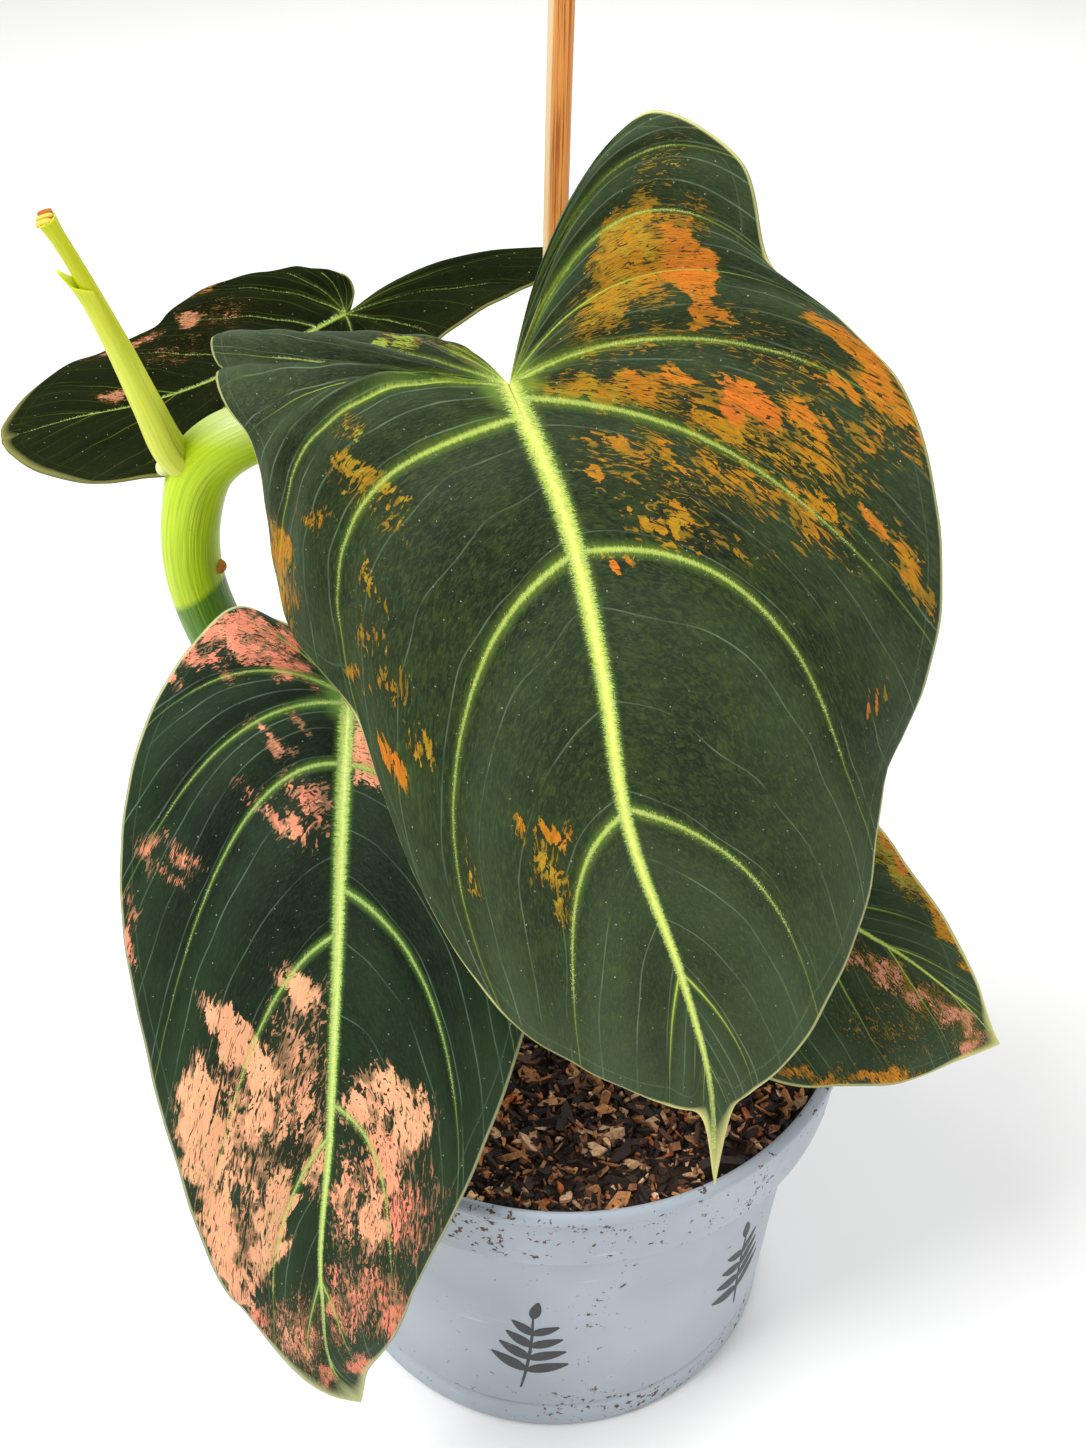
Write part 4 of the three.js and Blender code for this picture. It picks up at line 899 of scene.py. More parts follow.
def on_pattern(veins, u, v):
    """Place (s, b) on the flat leaf of vein number u, from v = 0 at the midrib to v = 1 at the margin:
    a curve from the vein's start that leans over one point and ends at the margin."""
    numbered = [(k, *row) for k, row in enumerate(veins)]
    start, lean_s, lean_b, edge_s, edge_b = np.moveaxis(through(numbered, u), -1, 0)
    w = 1 - v
    return 2 * v * w * lean_s + v * v * edge_s, w * w * start + 2 * v * w * lean_b + v * v * edge_b


def patch_field(patches, side, s, b):
    """How far each point lies inside the variegated patches, 0 outside and 1 in a patch's middle, and
    the warmth there, on a pattern made crooked by waves 3 to 8 mm long. A patch is (side, s, b,
    half width, half length, turn in degrees, strength, warmth)."""
    field = np.zeros_like(s)
    warmth = np.zeros_like(s)
    crooked_s = s + 0.9 * np.sin(0.8 * b + 1.5 * np.sin(0.6 * s)) + 0.45 * np.sin(2.1 * s - 1.6 * b)
    crooked_b = b + 0.8 * np.sin(0.9 * s - 1.4 * np.sin(0.5 * b)) + 0.4 * np.sin(1.9 * s + 2.3 * b)
    for patch_side, centre_s, centre_b, half_s, half_b, turn, strength, warm in patches:
        if patch_side != side:
            continue
        c, d = np.cos(np.radians(turn)), np.sin(np.radians(turn))
        x, y = crooked_s - centre_s, crooked_b - centre_b
        distance = np.hypot((c * x + d * y) / half_s, (c * y - d * x) / half_b)
        inside = strength * np.clip(1.35 - distance, 0, 1)
        warmth = np.where(inside > field, warm, warmth)
        field = np.maximum(field, inside)
    return field, warmth


def leaf_lift(blade, side, u, v, s, b):
    """How far the tissue rises off the bent sheet: puffed up between the veins, waved along the
    margin, pleated and uneven, with a groove along each strong vein; nothing at the midrib and tip."""
    last = len(blade["veins"][side]) - 1
    tip = blade["veins"][side][-1][0]
    height, count = blade["wave"]
    fade = np.clip(np.minimum((tip - b) / 20, s / 8), 0, 1)
    puff = blade["puff"] * np.sin(np.pi * np.mod(u, 1)) ** 2 * 4 * v * (1 - v)
    wave = height * np.sin(2 * np.pi * count * u / last + side) * v**3
    pleats = 0.12 * np.abs(np.sin(np.pi * 3 * u)) * np.clip(8 * v * (1 - v), 0, 1)
    uneven = 0.22 * np.sin(0.5 * s + 0.27 * b) * np.cos(0.37 * b - 0.21 * s)
    strength = np.array(blade["vein strength"])[np.round(u).astype(int)]
    groove = 0.55 * strength * (1 - v) * np.exp(-((np.mod(u + 0.5, 1) - 0.5) / 0.05) ** 2)
    return fade * (puff + wave + pleats + uneven - groove)


def leaf_normal(blade, side, s, b):
    """Points of the bent leaf and the direction out of its upper face there."""
    middle = leaf_sheet(blade, side, s, b)
    step_s = leaf_sheet(blade, side, s + 0.5, b) - middle
    step_b = leaf_sheet(blade, side, s, b + 0.5) - middle
    return middle, side * unit(np.cross(step_b, step_s))


def half_leaf(blade, side, rows, columns, patches):
    """Grid of one half: upper and lower points, its two maps and its values. Rows gather at the
    veins, the lower face is ridged under each vein, and the blade thins out to its edge."""
    veins = blade["veins"]
    last = len(veins[side]) - 1
    tip = veins[side][-1][0]
    even = np.linspace(0, last, rows)
    u_rows = even - 0.09 * np.sin(2 * np.pi * even)
    u = u_rows[:, None] + np.zeros((1, columns))
    v = np.linspace(0, 1, columns)[None, :] ** 1.2 + 0 * u
    s, b = on_pattern(veins[side], u, v)
    starts = sum(on_pattern(veins[k], u[:, 0], 0 * u[:, 0])[1] for k in (-1, 1)) / 2
    s[:, 0] = 0
    b[:, 0] = np.maximum(starts, 0)
    middle, out = leaf_normal(blade, side, s, b)
    lift = leaf_lift(blade, side, u, v, s, b)

    du = np.stack([np.gradient(s, u_rows, axis=0), np.gradient(b, u_rows, axis=0)], axis=-1)
    dv = np.stack([np.gradient(s, axis=1), np.gradient(b, axis=1)], axis=-1)
    area = np.abs(du[..., 0] * dv[..., 1] - du[..., 1] * dv[..., 0])
    spacing = area / np.maximum(np.linalg.norm(dv, axis=-1), 1e-6)
    steps = np.linalg.norm(dv, axis=-1)
    inward = np.cumsum(steps[:, ::-1], axis=1)[:, ::-1] - steps
    slant = area / np.maximum(np.linalg.norm(du, axis=-1) * steps, 1e-9)
    margin = inward * np.clip(slant, 0.25, 1)
    midrib = np.where(b < 0, np.hypot(s, b), s)

    rib = RIB_HEIGHT * (1 - 0.8 * np.maximum(b, 0) / tip) * np.exp(-((midrib / 1.5) ** 2))
    vein_gap = np.abs(u - np.round(u)) * spacing
    ridge = 0.35 * (1 - v) * np.exp(-((vein_gap / 0.6) ** 2)) * np.clip(v * 12, 0, 1)
    half = 0.5 * BLADE_THICKNESS * np.sqrt(np.clip(0.12 + margin / 1.2, 0, 1))
    half[:, -1] = 0
    half[[0, -1]] = 0
    rib[[0, -1]] = 0
    upper = middle + (lift + half)[..., None] * out
    lower = middle + (lift - half - rib - np.where(half > 0, ridge, 0))[..., None] * out
    patch, warmth = patch_field(patches, side, s, b)
    maps = {"flat": np.stack([side * s, b], axis=-1),
            "veins": np.stack([u + (20 if side > 0 else 0), v], axis=-1)}
    strength = np.array(blade["vein strength"])[np.round(u).astype(int)]
    values = {"spacing": spacing, "margin": margin, "midrib": midrib, "patch": patch, "warmth": warmth,
              "strength": strength}
    return upper, lower, maps, values


def leaf_blade(name, blade, material, rows, columns, patches):
    """Both halves of a leaf, upper and lower faces, welded along the midrib and the margin."""
    points, faces = [], []
    maps = {"flat": [], "veins": []}
    values = {key: [] for key in LEAF_VALUES}
    quads = grid_faces(rows, columns)
    for side in (-1, 1):
        upper, lower, half_maps, half_values = half_leaf(blade, side, rows, columns, patches)
        for back, layer in ((0, upper), (1, lower)):
            start = len(points) * rows * columns
            flip = (side > 0) == (back == 1)
            faces.append((quads[:, ::-1] if flip else quads) + start)
            points.append(layer.reshape(-1, 3))
            for key, value in half_maps.items():
                maps[key].append(value.reshape(-1, 2))
            for key, value in half_values.items():
                values[key].append(value.ravel())
            values["back"].append(np.full(rows * columns, float(back)))
    return add_piece(name, np.concatenate(points), faces, material,
                     maps={key: np.concatenate(value) for key, value in maps.items()},
                     values={key: np.concatenate(value) for key, value in values.items()}, weld=True)


def velvet_leaf(name, colours, midrib_width, vein_width, leaf_length, sheen):
    """Velvety leaf tissue. Dark green with a nap of short strokes; pale furry veins that glow
    yellow-green at their edges; variegation as crooked flecks that close to crisp sectors."""
    material, tree = new_material(name)
    flat = add_node(tree, "UVMap", uv_map="flat")
    vein_map = add_node(tree, "UVMap", uv_map="veins")
    vein_axes = add_node(tree, "SeparateXYZ", {"Vector": vein_map})
    length_run = add_node(tree, "SeparateXYZ", {"Vector": flat}).outputs["Y"]
    values = [add_node(tree, "Attribute", attribute_name=key).outputs["Fac"] for key in LEAF_VALUES]
    spacing, margin, midrib, patch, warmth, strength, back = values

    # Tissue: clouds of deep and mid green 20 mm across, an olive wash, and a greyer green of painted
    # light: painted sheen within 15 mm of the margin, where the leaf curves away, and a painted
    # highlight below each side vein, where a quilted panel faces the light; it also gathers towards the
    # tip.
    cloud = add_node(tree, "TexNoise", {"Vector": flat, "Scale": 0.055, "Detail": 3})
    cloud_share = add_node(tree, "MapRange", {"Value": cloud, "From Min": 0.35, "From Max": 0.7})
    wash = add_node(tree, "TexNoise", {"Vector": flat, "Scale": 0.13, "Detail": 5, "Roughness": 0.65})
    wash_share = add_node(tree, "MapRange",
                          {"Value": wash, "From Min": 0.5, "From Max": 0.72, "To Max": 0.5})
    margin_sheen = add_node(tree, "MapRange",
                            {"Value": margin, "From Min": 15, "From Max": 1, "To Max": 0.2},
                            interpolation_type="SMOOTHSTEP")
    tip_paling = add_node(tree, "MapRange",
                         {"Value": length_run, "From Min": 0.3 * leaf_length,
                          "From Max": 0.8 * leaf_length, "To Max": 0.3}, interpolation_type="SMOOTHSTEP")
    panel = add_node(tree, "Math", {0: vein_axes.outputs["X"]}, operation="FRACT")
    panel_rise = add_node(tree, "MapRange", {"Value": panel, "From Min": 0.03, "From Max": 0.2},
                          interpolation_type="SMOOTHSTEP")
    panel_highlight = add_node(tree, "MapRange",
                           {"Value": panel, "From Min": 0.8, "From Max": 0.25, "To Max": panel_rise},
                           interpolation_type="SMOOTHSTEP")
    sheen_and_tip_paling = add_node(tree, "Math", {0: margin_sheen, 1: tip_paling}, operation="ADD")
    painted_light_share = add_node(tree, "Math", {0: panel_highlight, 1: 0.24, 2: sheen_and_tip_paling}, operation="MULTIPLY_ADD")

    # Nap: strokes a third of a millimetre wide that lie along the veins, coarser than the real
    # papillae so that they show.
    nap_map = add_node(tree, "Mapping", {"Vector": vein_map, "Scale": (48, 36, 1)})
    nap = add_node(tree, "TexNoise",
                   {"Vector": nap_map, "Scale": 1, "Detail": 4, "Roughness": 0.7, "Distortion": 1.2})
    nap_share = add_node(tree, "MapRange",
                         {"Value": nap, "From Min": 0.45, "From Max": 0.75, "To Max": 0.6})

    # Fine veins: two to each panel between side veins, wandering and broken, soft lines under a
    # millimetre wide; and a faint collecting vein that follows the margin 3 mm inside it.
    wander = add_node(tree, "TexNoise", {"Vector": flat, "Scale": 0.05, "Detail": 1})
    thirds = add_node(tree, "Math", {0: vein_axes.outputs["X"], 1: 3.0}, operation="MULTIPLY")
    wandered = add_node(tree, "Math", {0: wander, 1: 0.5, 2: thirds}, operation="MULTIPLY_ADD")
    third_gap = add_node(tree, "Math", {0: wandered, 1: 0.5}, operation="PINGPONG")
    third_mm = add_node(tree, "Math", {0: third_gap, 1: spacing}, operation="MULTIPLY")
    fine_line = add_node(tree, "MapRange", {"Value": third_mm, "From Min": 0.5, "From Max": 0.08},
                         interpolation_type="SMOOTHSTEP")
    fine_break = add_node(tree, "TexNoise", {"Vector": flat, "Scale": 0.07, "Detail": 4, "Roughness": 0.6})
    fine_share = add_node(tree, "MapRange",
                          {"Value": fine_break, "From Min": 0.36, "From Max": 0.62, "To Max": 0.38})
    fine_mask = add_node(tree, "Math", {0: fine_line, 1: fine_share}, operation="MULTIPLY")
    collecting_run = add_node(tree, "Math", {0: wander, 1: 1.5, 2: margin}, operation="MULTIPLY_ADD")
    collecting_gap = add_node(tree, "Math", {0: collecting_run, 1: 3.4}, operation="SUBTRACT")
    collecting_mm = add_node(tree, "Math", {0: collecting_gap}, operation="ABSOLUTE")
    collecting_mask = add_node(tree, "MapRange",
                               {"Value": collecting_mm, "From Min": 0.16, "From Max": 0.04, "To Max": 0.12})
    thin_lines = add_node(tree, "Math", {0: fine_mask, 1: collecting_mask}, operation="MAXIMUM")

    # Variegation. A patch tints the tissue olive, then breaks up into crooked flecks half a
    # millimetre wide and two long, and where its field is strong it closes to whole sectors, with
    # the edges of cells 3 and 1 mm wide that lie along the veins. Small green islands stay in both.
    bend = add_node(tree, "TexNoise", {"Vector": flat, "Scale": 0.5, "Detail": 5, "Roughness": 0.75})
    bend_vector = add_node(tree, "VectorMath", {0: bend.outputs["Color"], 1: (0.16, 0.09, 0), 2: vein_map},
                           operation="MULTIPLY_ADD")
    draw = 0.0
    for across, along, share in ((6, 10, 0.6), (16, 26, 0.4)):
        cell_map = add_node(tree, "Mapping", {"Vector": bend_vector, "Scale": (across, along, 1)})
        cell = add_node(tree, "TexVoronoi", {"Vector": cell_map, "Scale": 1}, voronoi_dimensions="2D")
        level = add_node(tree, "SeparateColor", {"Color": cell.outputs["Color"]})
        draw = add_node(tree, "Math", {0: level, 1: share, 2: draw}, operation="MULTIPLY_ADD")
    fleck_map = add_node(tree, "Mapping", {"Vector": vein_map, "Scale": (16, 15, 1)})
    fleck = add_node(tree, "TexNoise",
                     {"Vector": fleck_map, "Scale": 1, "Detail": 4, "Roughness": 0.58, "Distortion": 2.5})
    cell_sum = add_node(tree, "Math", {0: draw, 1: 1.1, 2: patch}, operation="MULTIPLY_ADD")
    broken = add_node(tree, "Math", {0: fleck, 1: 1.3, 2: cell_sum}, operation="MULTIPLY_ADD")
    block = add_node(tree, "MapRange", {"Value": broken, "From Min": 2.0, "From Max": 2.03})
    pricked = add_node(tree, "Math", {0: patch, 1: 0.28, 2: fleck}, operation="MULTIPLY_ADD")
    no_island = add_node(tree, "MapRange", {"Value": fleck, "From Min": 0.405, "From Max": 0.42})
    block_mask = add_node(tree, "Math", {0: block, 1: no_island}, operation="MULTIPLY")
    present = add_node(tree, "MapRange", {"Value": patch, "From Min": 0.02, "From Max": 0.14})
    fleck_share = add_node(tree, "MapRange",
                           {"Value": pricked, "From Min": 0.645, "From Max": 0.67, "To Max": present})
    fleck_mask = add_node(tree, "Math", {0: fleck_share, 1: no_island}, operation="MULTIPLY")
    tint_share = add_node(tree, "MapRange", {"Value": patch, "From Max": 0.5, "To Max": 0.5},
                          interpolation_type="SMOOTHSTEP")

    # Each fleck is dull or bright by a draw of 2 mm, and a sector's colour drifts and is streaked.
    drift = add_node(tree, "TexNoise", {"Vector": flat, "Scale": 0.4, "Detail": 4})
    drift_sum = add_node(tree, "Math", {0: patch, 1: 0.22, 2: drift}, operation="MULTIPLY_ADD")
    bright_share = add_node(tree, "MapRange", {"Value": drift_sum, "From Min": 0.56, "From Max": 0.82})
    tone_sum = add_node(tree, "Math", {0: drift, 1: 1.2, 2: warmth}, operation="MULTIPLY_ADD")
    tone_place = add_node(tree, "MapRange", {"Value": tone_sum, "From Min": -0.4, "From Max": 2.6})
    tone = add_node(tree, "ValToRGB", {"Fac": tone_place})
    ramp = tone.color_ramp.elements
    ramp.new(1 / 3)
    ramp.new(2 / 3)
    for stop, key in zip(ramp, ("green patch", "cool patch", "warm patch", "scar")):
        stop.color = linear(colours[key])
    shade_map = add_node(tree, "Mapping", {"Vector": vein_map, "Scale": (22, 14, 1)})
    shade = add_node(tree, "TexNoise",
                     {"Vector": shade_map, "Scale": 1, "Detail": 6, "Roughness": 0.75, "Distortion": 1.5})
    shade_share = add_node(tree, "MapRange",
                           {"Value": shade, "From Min": 0.42, "From Max": 0.66, "To Max": 0.75})
    shaded = add_node(tree, "Mix", {"Factor": shade_share, "A": tone, "B": colours["patch shade"]},
                      data_type="RGBA")
    fleck_colour = add_node(tree, "Mix", {"Factor": bright_share, "A": colours["dull patch"], "B": shaded},
                            data_type="RGBA")

    # Side veins: a pale cord in a soft glow, both frayed by the short hairs along it.
    whisker_map = add_node(tree, "Mapping", {"Vector": vein_map, "Scale": (4, 130, 1)})
    whiskers = add_node(tree, "TexNoise",
                        {"Vector": whisker_map, "Scale": 1, "Detail": 3, "Roughness": 0.7})
    whisker_mm = add_node(tree, "Math", {0: whiskers, 1: 1.6, 2: -0.8}, operation="MULTIPLY_ADD")
    vein_gap = add_node(tree, "Math", {0: vein_axes.outputs["X"], 1: 0.5}, operation="PINGPONG")
    taper = add_node(tree, "MapRange",
                     {"Value": vein_axes.outputs["Y"], "From Min": 0.03, "From Max": 0.9,
                      "To Min": vein_width, "To Max": 0.15 * vein_width})
    vein_fade = add_node(tree, "MapRange",
                         {"Value": vein_axes.outputs["Y"], "From Min": 0.08, "From Max": 0.85,
                          "To Min": 0.9, "To Max": 0.2})
    glow_fade = add_node(tree, "MapRange",
                         {"Value": vein_axes.outputs["Y"], "From Min": 0.1, "From Max": 0.8,
                          "To Min": 0.45, "To Max": 0.14})
    vein_half = add_node(tree, "Math", {0: taper, 1: strength}, operation="MULTIPLY")
    frayed = add_node(tree, "Math", {0: whisker_mm, 1: vein_half}, operation="MULTIPLY")
    vein_mm = add_node(tree, "Math", {0: vein_gap, 1: spacing, 2: frayed}, operation="MULTIPLY_ADD")
    cord_inner = add_node(tree, "Math", {0: vein_half, 1: 0.1}, operation="MULTIPLY")
    glow_outer = add_node(tree, "Math", {0: vein_half, 1: 3.2}, operation="MULTIPLY")
    cord_mask = add_node(tree, "MapRange",
                         {"Value": vein_mm, "From Min": vein_half, "From Max": cord_inner,
                          "To Max": vein_fade}, interpolation_type="SMOOTHSTEP")
    glow_mask = add_node(tree, "MapRange",
                         {"Value": vein_mm, "From Min": glow_outer, "From Max": cord_inner,
                          "To Max": glow_fade}, interpolation_type="SMOOTHSTEP")

    # Midrib: the same, broad at the notch, with a paler core and a ragged furry edge.
    hair_map = add_node(tree, "Mapping", {"Vector": flat, "Scale": (0.5, 3.4, 1)})
    hairs = add_node(tree, "TexNoise", {"Vector": hair_map, "Scale": 1, "Detail": 4, "Roughness": 0.75})
    hair_pull = add_node(tree, "Math", {0: hairs, 1: 1.6, 2: -0.8}, operation="MULTIPLY_ADD")
    midrib_half = add_node(tree, "MapRange",
                           {"Value": length_run, "From Max": leaf_length, "To Min": midrib_width,
                            "To Max": 0.05 * midrib_width})
    midrib_fade = add_node(tree, "MapRange",
                           {"Value": length_run, "From Min": 0.78 * leaf_length,
                            "From Max": 0.9 * leaf_length, "To Min": 1.0, "To Max": 0.15})
    midrib_mm = add_node(tree, "Math", {0: hair_pull, 1: midrib_half, 2: midrib}, operation="MULTIPLY_ADD")
    steps = [add_node(tree, "Math", {0: midrib_half, 1: share}, operation="MULTIPLY")
             for share in (0.15, 0.6, 1.6)]
    midrib_core, midrib_inner, midrib_outer = steps
    midrib_mask = add_node(tree, "MapRange",
                           {"Value": midrib_mm, "From Min": midrib_half, "From Max": midrib_inner,
                            "To Max": midrib_fade}, interpolation_type="SMOOTHSTEP")
    core_mask = add_node(tree, "MapRange",
                         {"Value": midrib_mm, "From Min": midrib_inner, "From Max": midrib_core,
                          "To Max": midrib_fade}, interpolation_type="SMOOTHSTEP")
    midrib_glow = add_node(tree, "MapRange",
                           {"Value": midrib_mm, "From Min": midrib_outer, "From Max": midrib_inner,
                            "To Max": 0.55}, interpolation_type="SMOOTHSTEP")
    joint_gap = add_node(tree, "VectorMath", {0: flat}, operation="LENGTH")
    joint_glow = add_node(tree, "MapRange",
                          {"Value": joint_gap.outputs["Value"], "From Min": 3.6 * midrib_width,
                           "From Max": 0.8 * midrib_width, "To Max": 0.9}, interpolation_type="SMOOTHSTEP")
    glows = add_node(tree, "Math", {0: glow_mask, 1: midrib_glow}, operation="MAXIMUM")
    all_glows = add_node(tree, "Math", {0: glows, 1: joint_glow}, operation="MAXIMUM")
    cords = add_node(tree, "Math", {0: cord_mask, 1: midrib_mask}, operation="MAXIMUM")

    # Margin: a cream line half a millimetre wide, more than twice as wide on the drip tip. Specks: pale
    # specks 0.1 mm across, partly dust and partly painted glints of the velvet.
    cream_width = add_node(tree, "MapRange",
                           {"Value": length_run, "From Min": 0.84 * leaf_length,
                            "From Max": 0.92 * leaf_length, "To Min": 0.65, "To Max": 1.5})
    margin_mask = add_node(tree, "MapRange", {"Value": margin, "From Min": cream_width, "From Max": 0.3})
    speck = add_node(tree, "TexVoronoi", {"Vector": flat, "Scale": 0.3}, voronoi_dimensions="2D")
    speck_kind = add_node(tree, "SeparateColor", {"Color": speck.outputs["Color"]})
    speck_size = add_node(tree, "Math", {0: speck_kind, 1: 0.06, 2: -0.02}, operation="MULTIPLY_ADD")
    speck_mask = add_node(tree, "Math", {0: speck.outputs["Distance"], 1: speck_size},
                          operation="LESS_THAN")
    dust_and_glint_share = add_node(tree, "Math", {0: speck_mask, 1: 0.45}, operation="MULTIPLY")

    # Lower face: paler and duller, with the same cords.
    lower = add_node(tree, "Mix", {"Factor": cords, "A": colours["under"], "B": colours["under vein"]},
                     data_type="RGBA")

    # Colour: each layer above is laid over the ones before it, and the lower face over them all.
    skin = colours["deep"]
    # The third layer is the greyer green of painted light and sheen.
    layers = [
        (cloud_share, colours["mid"]), (wash_share, colours["olive"]), (painted_light_share, colours["painted light"]),
        (nap_share, colours["light"]), (thin_lines, colours["fine vein"]),
        (tint_share, colours["patch tint"]), (fleck_mask, fleck_colour), (block_mask, shaded),
        (all_glows, colours["glow"]), (cords, colours["vein"]), (core_mask, colours["core"]),
        (margin_mask, colours["margin"]), (dust_and_glint_share, "#C9D2B8"), (back, lower),
    ]
    for share, colour in layers:
        skin = add_node(tree, "Mix", {"Factor": share, "A": skin, "B": colour}, data_type="RGBA")

    # Relief: the nap, the fine veins' creases, and the hairs' tufts along the cords.
    tuft = add_node(tree, "Math", {0: hairs, 1: all_glows}, operation="MULTIPLY")
    tufted = add_node(tree, "Math", {0: tuft, 1: 0.35}, operation="MULTIPLY")
    with_nap = add_node(tree, "Math", {0: nap, 1: 0.22, 2: tufted}, operation="MULTIPLY_ADD")
    creased = add_node(tree, "Math", {0: thin_lines, 1: -0.16, 2: with_nap}, operation="MULTIPLY_ADD")
    bump = add_node(tree, "Bump", {"Height": creased, "Strength": 0.8, "Distance": 0.001})
    surface = add_node(tree, "BsdfPrincipled",
                       {"Base Color": skin, "Roughness": 0.48, "IOR": 1.4,
                        "Specular IOR Level": 1.8 * sheen, "Sheen Weight": sheen, "Sheen Roughness": 0.35,
                        "Sheen Tint": "#8FA880", "Normal": bump})
    add_node(tree, "OutputMaterial", {"Surface": surface})
    return material


# The fourth colour is the greyer green of the painted sheen and painted light on the tissue.
GOLD_COLOURS = {
    "deep": "#0D180E", "mid": "#213218", "olive": "#3C4A1A", "painted light": "#43553A", "light": "#52632E",
    "fine vein": "#8DA580", "glow": "#7F9E3A", "vein": "#C4D85C", "core": "#EAF27E", "margin": "#DEDA8A",
    "patch tint": "#2F3012", "dull patch": "#84681A", "green patch": "#93B03A", "cool patch": "#BE8614",
    "warm patch": "#E07524", "scar": "#A5683A", "patch shade": "#80560E", "under": "#4A5A3C",
    "under vein": "#A9BC6C",
}
front_leaf_velvet = velvet_leaf("velvet leaf, gold variegated", GOLD_COLOURS, 2.0, 0.66, 138, 0.12)
FRONT_PATCHES = [
    # side, s, b, half width, half length, turn, strength, warmth (-1 green, 0 gold, 1 orange, 2 scar)
    (1, 22.5, -9.5, 8.2, 3.7, -50, 2.0, -0.1), (1, 30.5, -4.5, 6, 2.9, 85, 2.2, 0.7),
    (1, 27, -8, 9, 5, -30, 0.85, 0.2), (1, 30.5, 1.5, 3, 2, 60, 2.0, 0.5),
    (1, 16, -4, 9, 4, -35, 0.62, -0.2), (1, 21, 2, 8, 1.8, 5, 0.5, -0.2), (1, 8, 4, 8, 2, 25, 0.95, -0.15),
    (1, 13, 7, 7, 1.7, 28, 1.5, -0.1), (1, 17.4, 7.6, 3.2, 1.6, 25, 2.0, 0.4),
    (1, 23.5, 8.8, 2.6, 1.0, 30, 1.6, 0.5), (1, 30.8, 15.3, 5.2, 2.1, 25, 2.3, 1.0),
    (1, 38.8, 19.6, 3.2, 1.6, 32, 1.8, 0.6), (1, 24, 12, 12, 3.4, 27, 0.56, 0.1),
    (1, 30, 19, 14, 2.8, 30, 0.6, -0.1), (1, 38, 24, 9, 3, 38, 0.66, 0.0),
    (1, 26, 16.5, 6, 1.2, 27, 1.0, 0.0), (1, 30, 5.5, 12, 2.6, 18, 0.28, 0.0),
    (1, 39, 14, 7, 3.5, 30, 0.4, 0.2), (1, 46.5, 12, 4.5, 1.6, 55, 1.8, 0.5),
    (1, 50.3, 19.5, 5.5, 1.9, 65, 1.7, 0.5), (1, 55, 26.5, 3.5, 1.2, 70, 1.7, 0.6),
    (1, 51, 21, 11, 3.2, 66, 0.75, 0.3), (1, 44.5, 17.5, 2.2, 0.8, 60, 1.7, 0.5),
    (1, 46, 24, 3, 3, 40, 0.75, 0.3), (1, 14, 16, 9, 2.2, 33, 0.7, 0.1),
    (1, 24, 23, 10, 3.6, 33, 0.6, 0.1), (1, 34, 29, 8, 3, 38, 0.62, 0.1),
    (1, 30, 22, 12, 5, 33, 0.36, 0.0), (1, 13, 20, 10, 3.5, 32, 0.34, 0.0),
    (1, 36, 34, 5, 2.6, 50, 0.6, 0.2), (1, 13.3, 25.6, 4.2, 0.8, 30, 2.0, -0.1),
    (1, 18, 26.5, 3, 1.2, 30, 0.7, 0.0), (1, 14, 29, 5, 1.2, 28, 0.6, -0.1),
    (1, 6.5, 16, 1.8, 0.9, 30, 1.3, 0.1), (1, 8, 22.5, 1.8, 0.8, 20, 1.3, 0.1),
    (1, 22, 31, 8, 1.4, 30, 0.42, 0.2), (1, 44.8, 33.8, 2.2, 0.8, 35, 1.6, 0.6),
    (1, 48, 38.5, 4.5, 1.4, 62, 1.1, 0.2), (1, 50, 43.5, 3.5, 1.2, 75, 0.9, 0.2),
    (1, 5.2, 29.6, 2.4, 0.5, 18, 2.0, 0.9), (1, 41.3, 57, 1.7, 0.8, 0, 2.0, 1.6),
    (1, 33, -20, 7, 3, -30, 0.3, -0.6),
    (-1, 12, 70.5, 3.8, 1.2, -8, 1.5, 0.4), (-1, 13.4, 75, 2.2, 3.6, 10, 1.1, -0.3),
    (-1, 14, 81, 1.8, 4, 0, 0.7, -0.4), (-1, 19, -9.5, 3, 1.8, 0, 1.3, -1.2),
    (-1, 11, -10.5, 8, 2.6, 0, 0.7, -1.3), (-1, 4, -8, 4, 5, 30, 0.6, -1.2),
    (-1, 29.5, 11.5, 2.6, 3.2, -20, 0.5, -0.6), (-1, 32.3, 18.4, 3.2, 1.2, -25, 1.4, -0.2),
    (-1, 29, 20.5, 5, 2.4, -25, 0.72, -0.3), (-1, 31, 24.5, 6, 3, -40, 0.45, -0.3),
    (-1, 40.5, 28, 2.4, 1.6, 0, 0.6, 0.0), (-1, 50.5, 34.5, 2.6, 3.4, -10, 1.5, 0.1),
    (-1, 54, 41, 2.2, 5, -5, 1.5, -0.1), (-1, 52, 38, 4, 9, -10, 0.8, 0.0),
    (-1, 34.5, 36, 1.5, 3.5, -10, 0.6, -0.3), (-1, 35.5, 45, 3.5, 4, 0, 0.5, -0.2),
    (-1, 33, 52, 2.4, 2.2, 0, 0.7, 0.0), (-1, 40.5, 51, 0.9, 0.9, 0, 1.2, 0.3),
    (-1, 37.6, 54.6, 0.9, 1.2, 0, 1.2, 0.3), (-1, 35.6, 62, 1.0, 3.2, 8, 1.5, 0.7),
    (-1, 30.5, 61.5, 1.6, 3, 15, 0.85, -0.2), (-1, 26, 75, 1.5, 5, 5, 0.45, -0.4),
]
front_blade = leaf_blade("front_leaf", FRONT_BLADE, front_leaf_velvet, 241, 85, FRONT_PATCHES)
stands_for(front_blade, "leaf_blade", "front_blade")

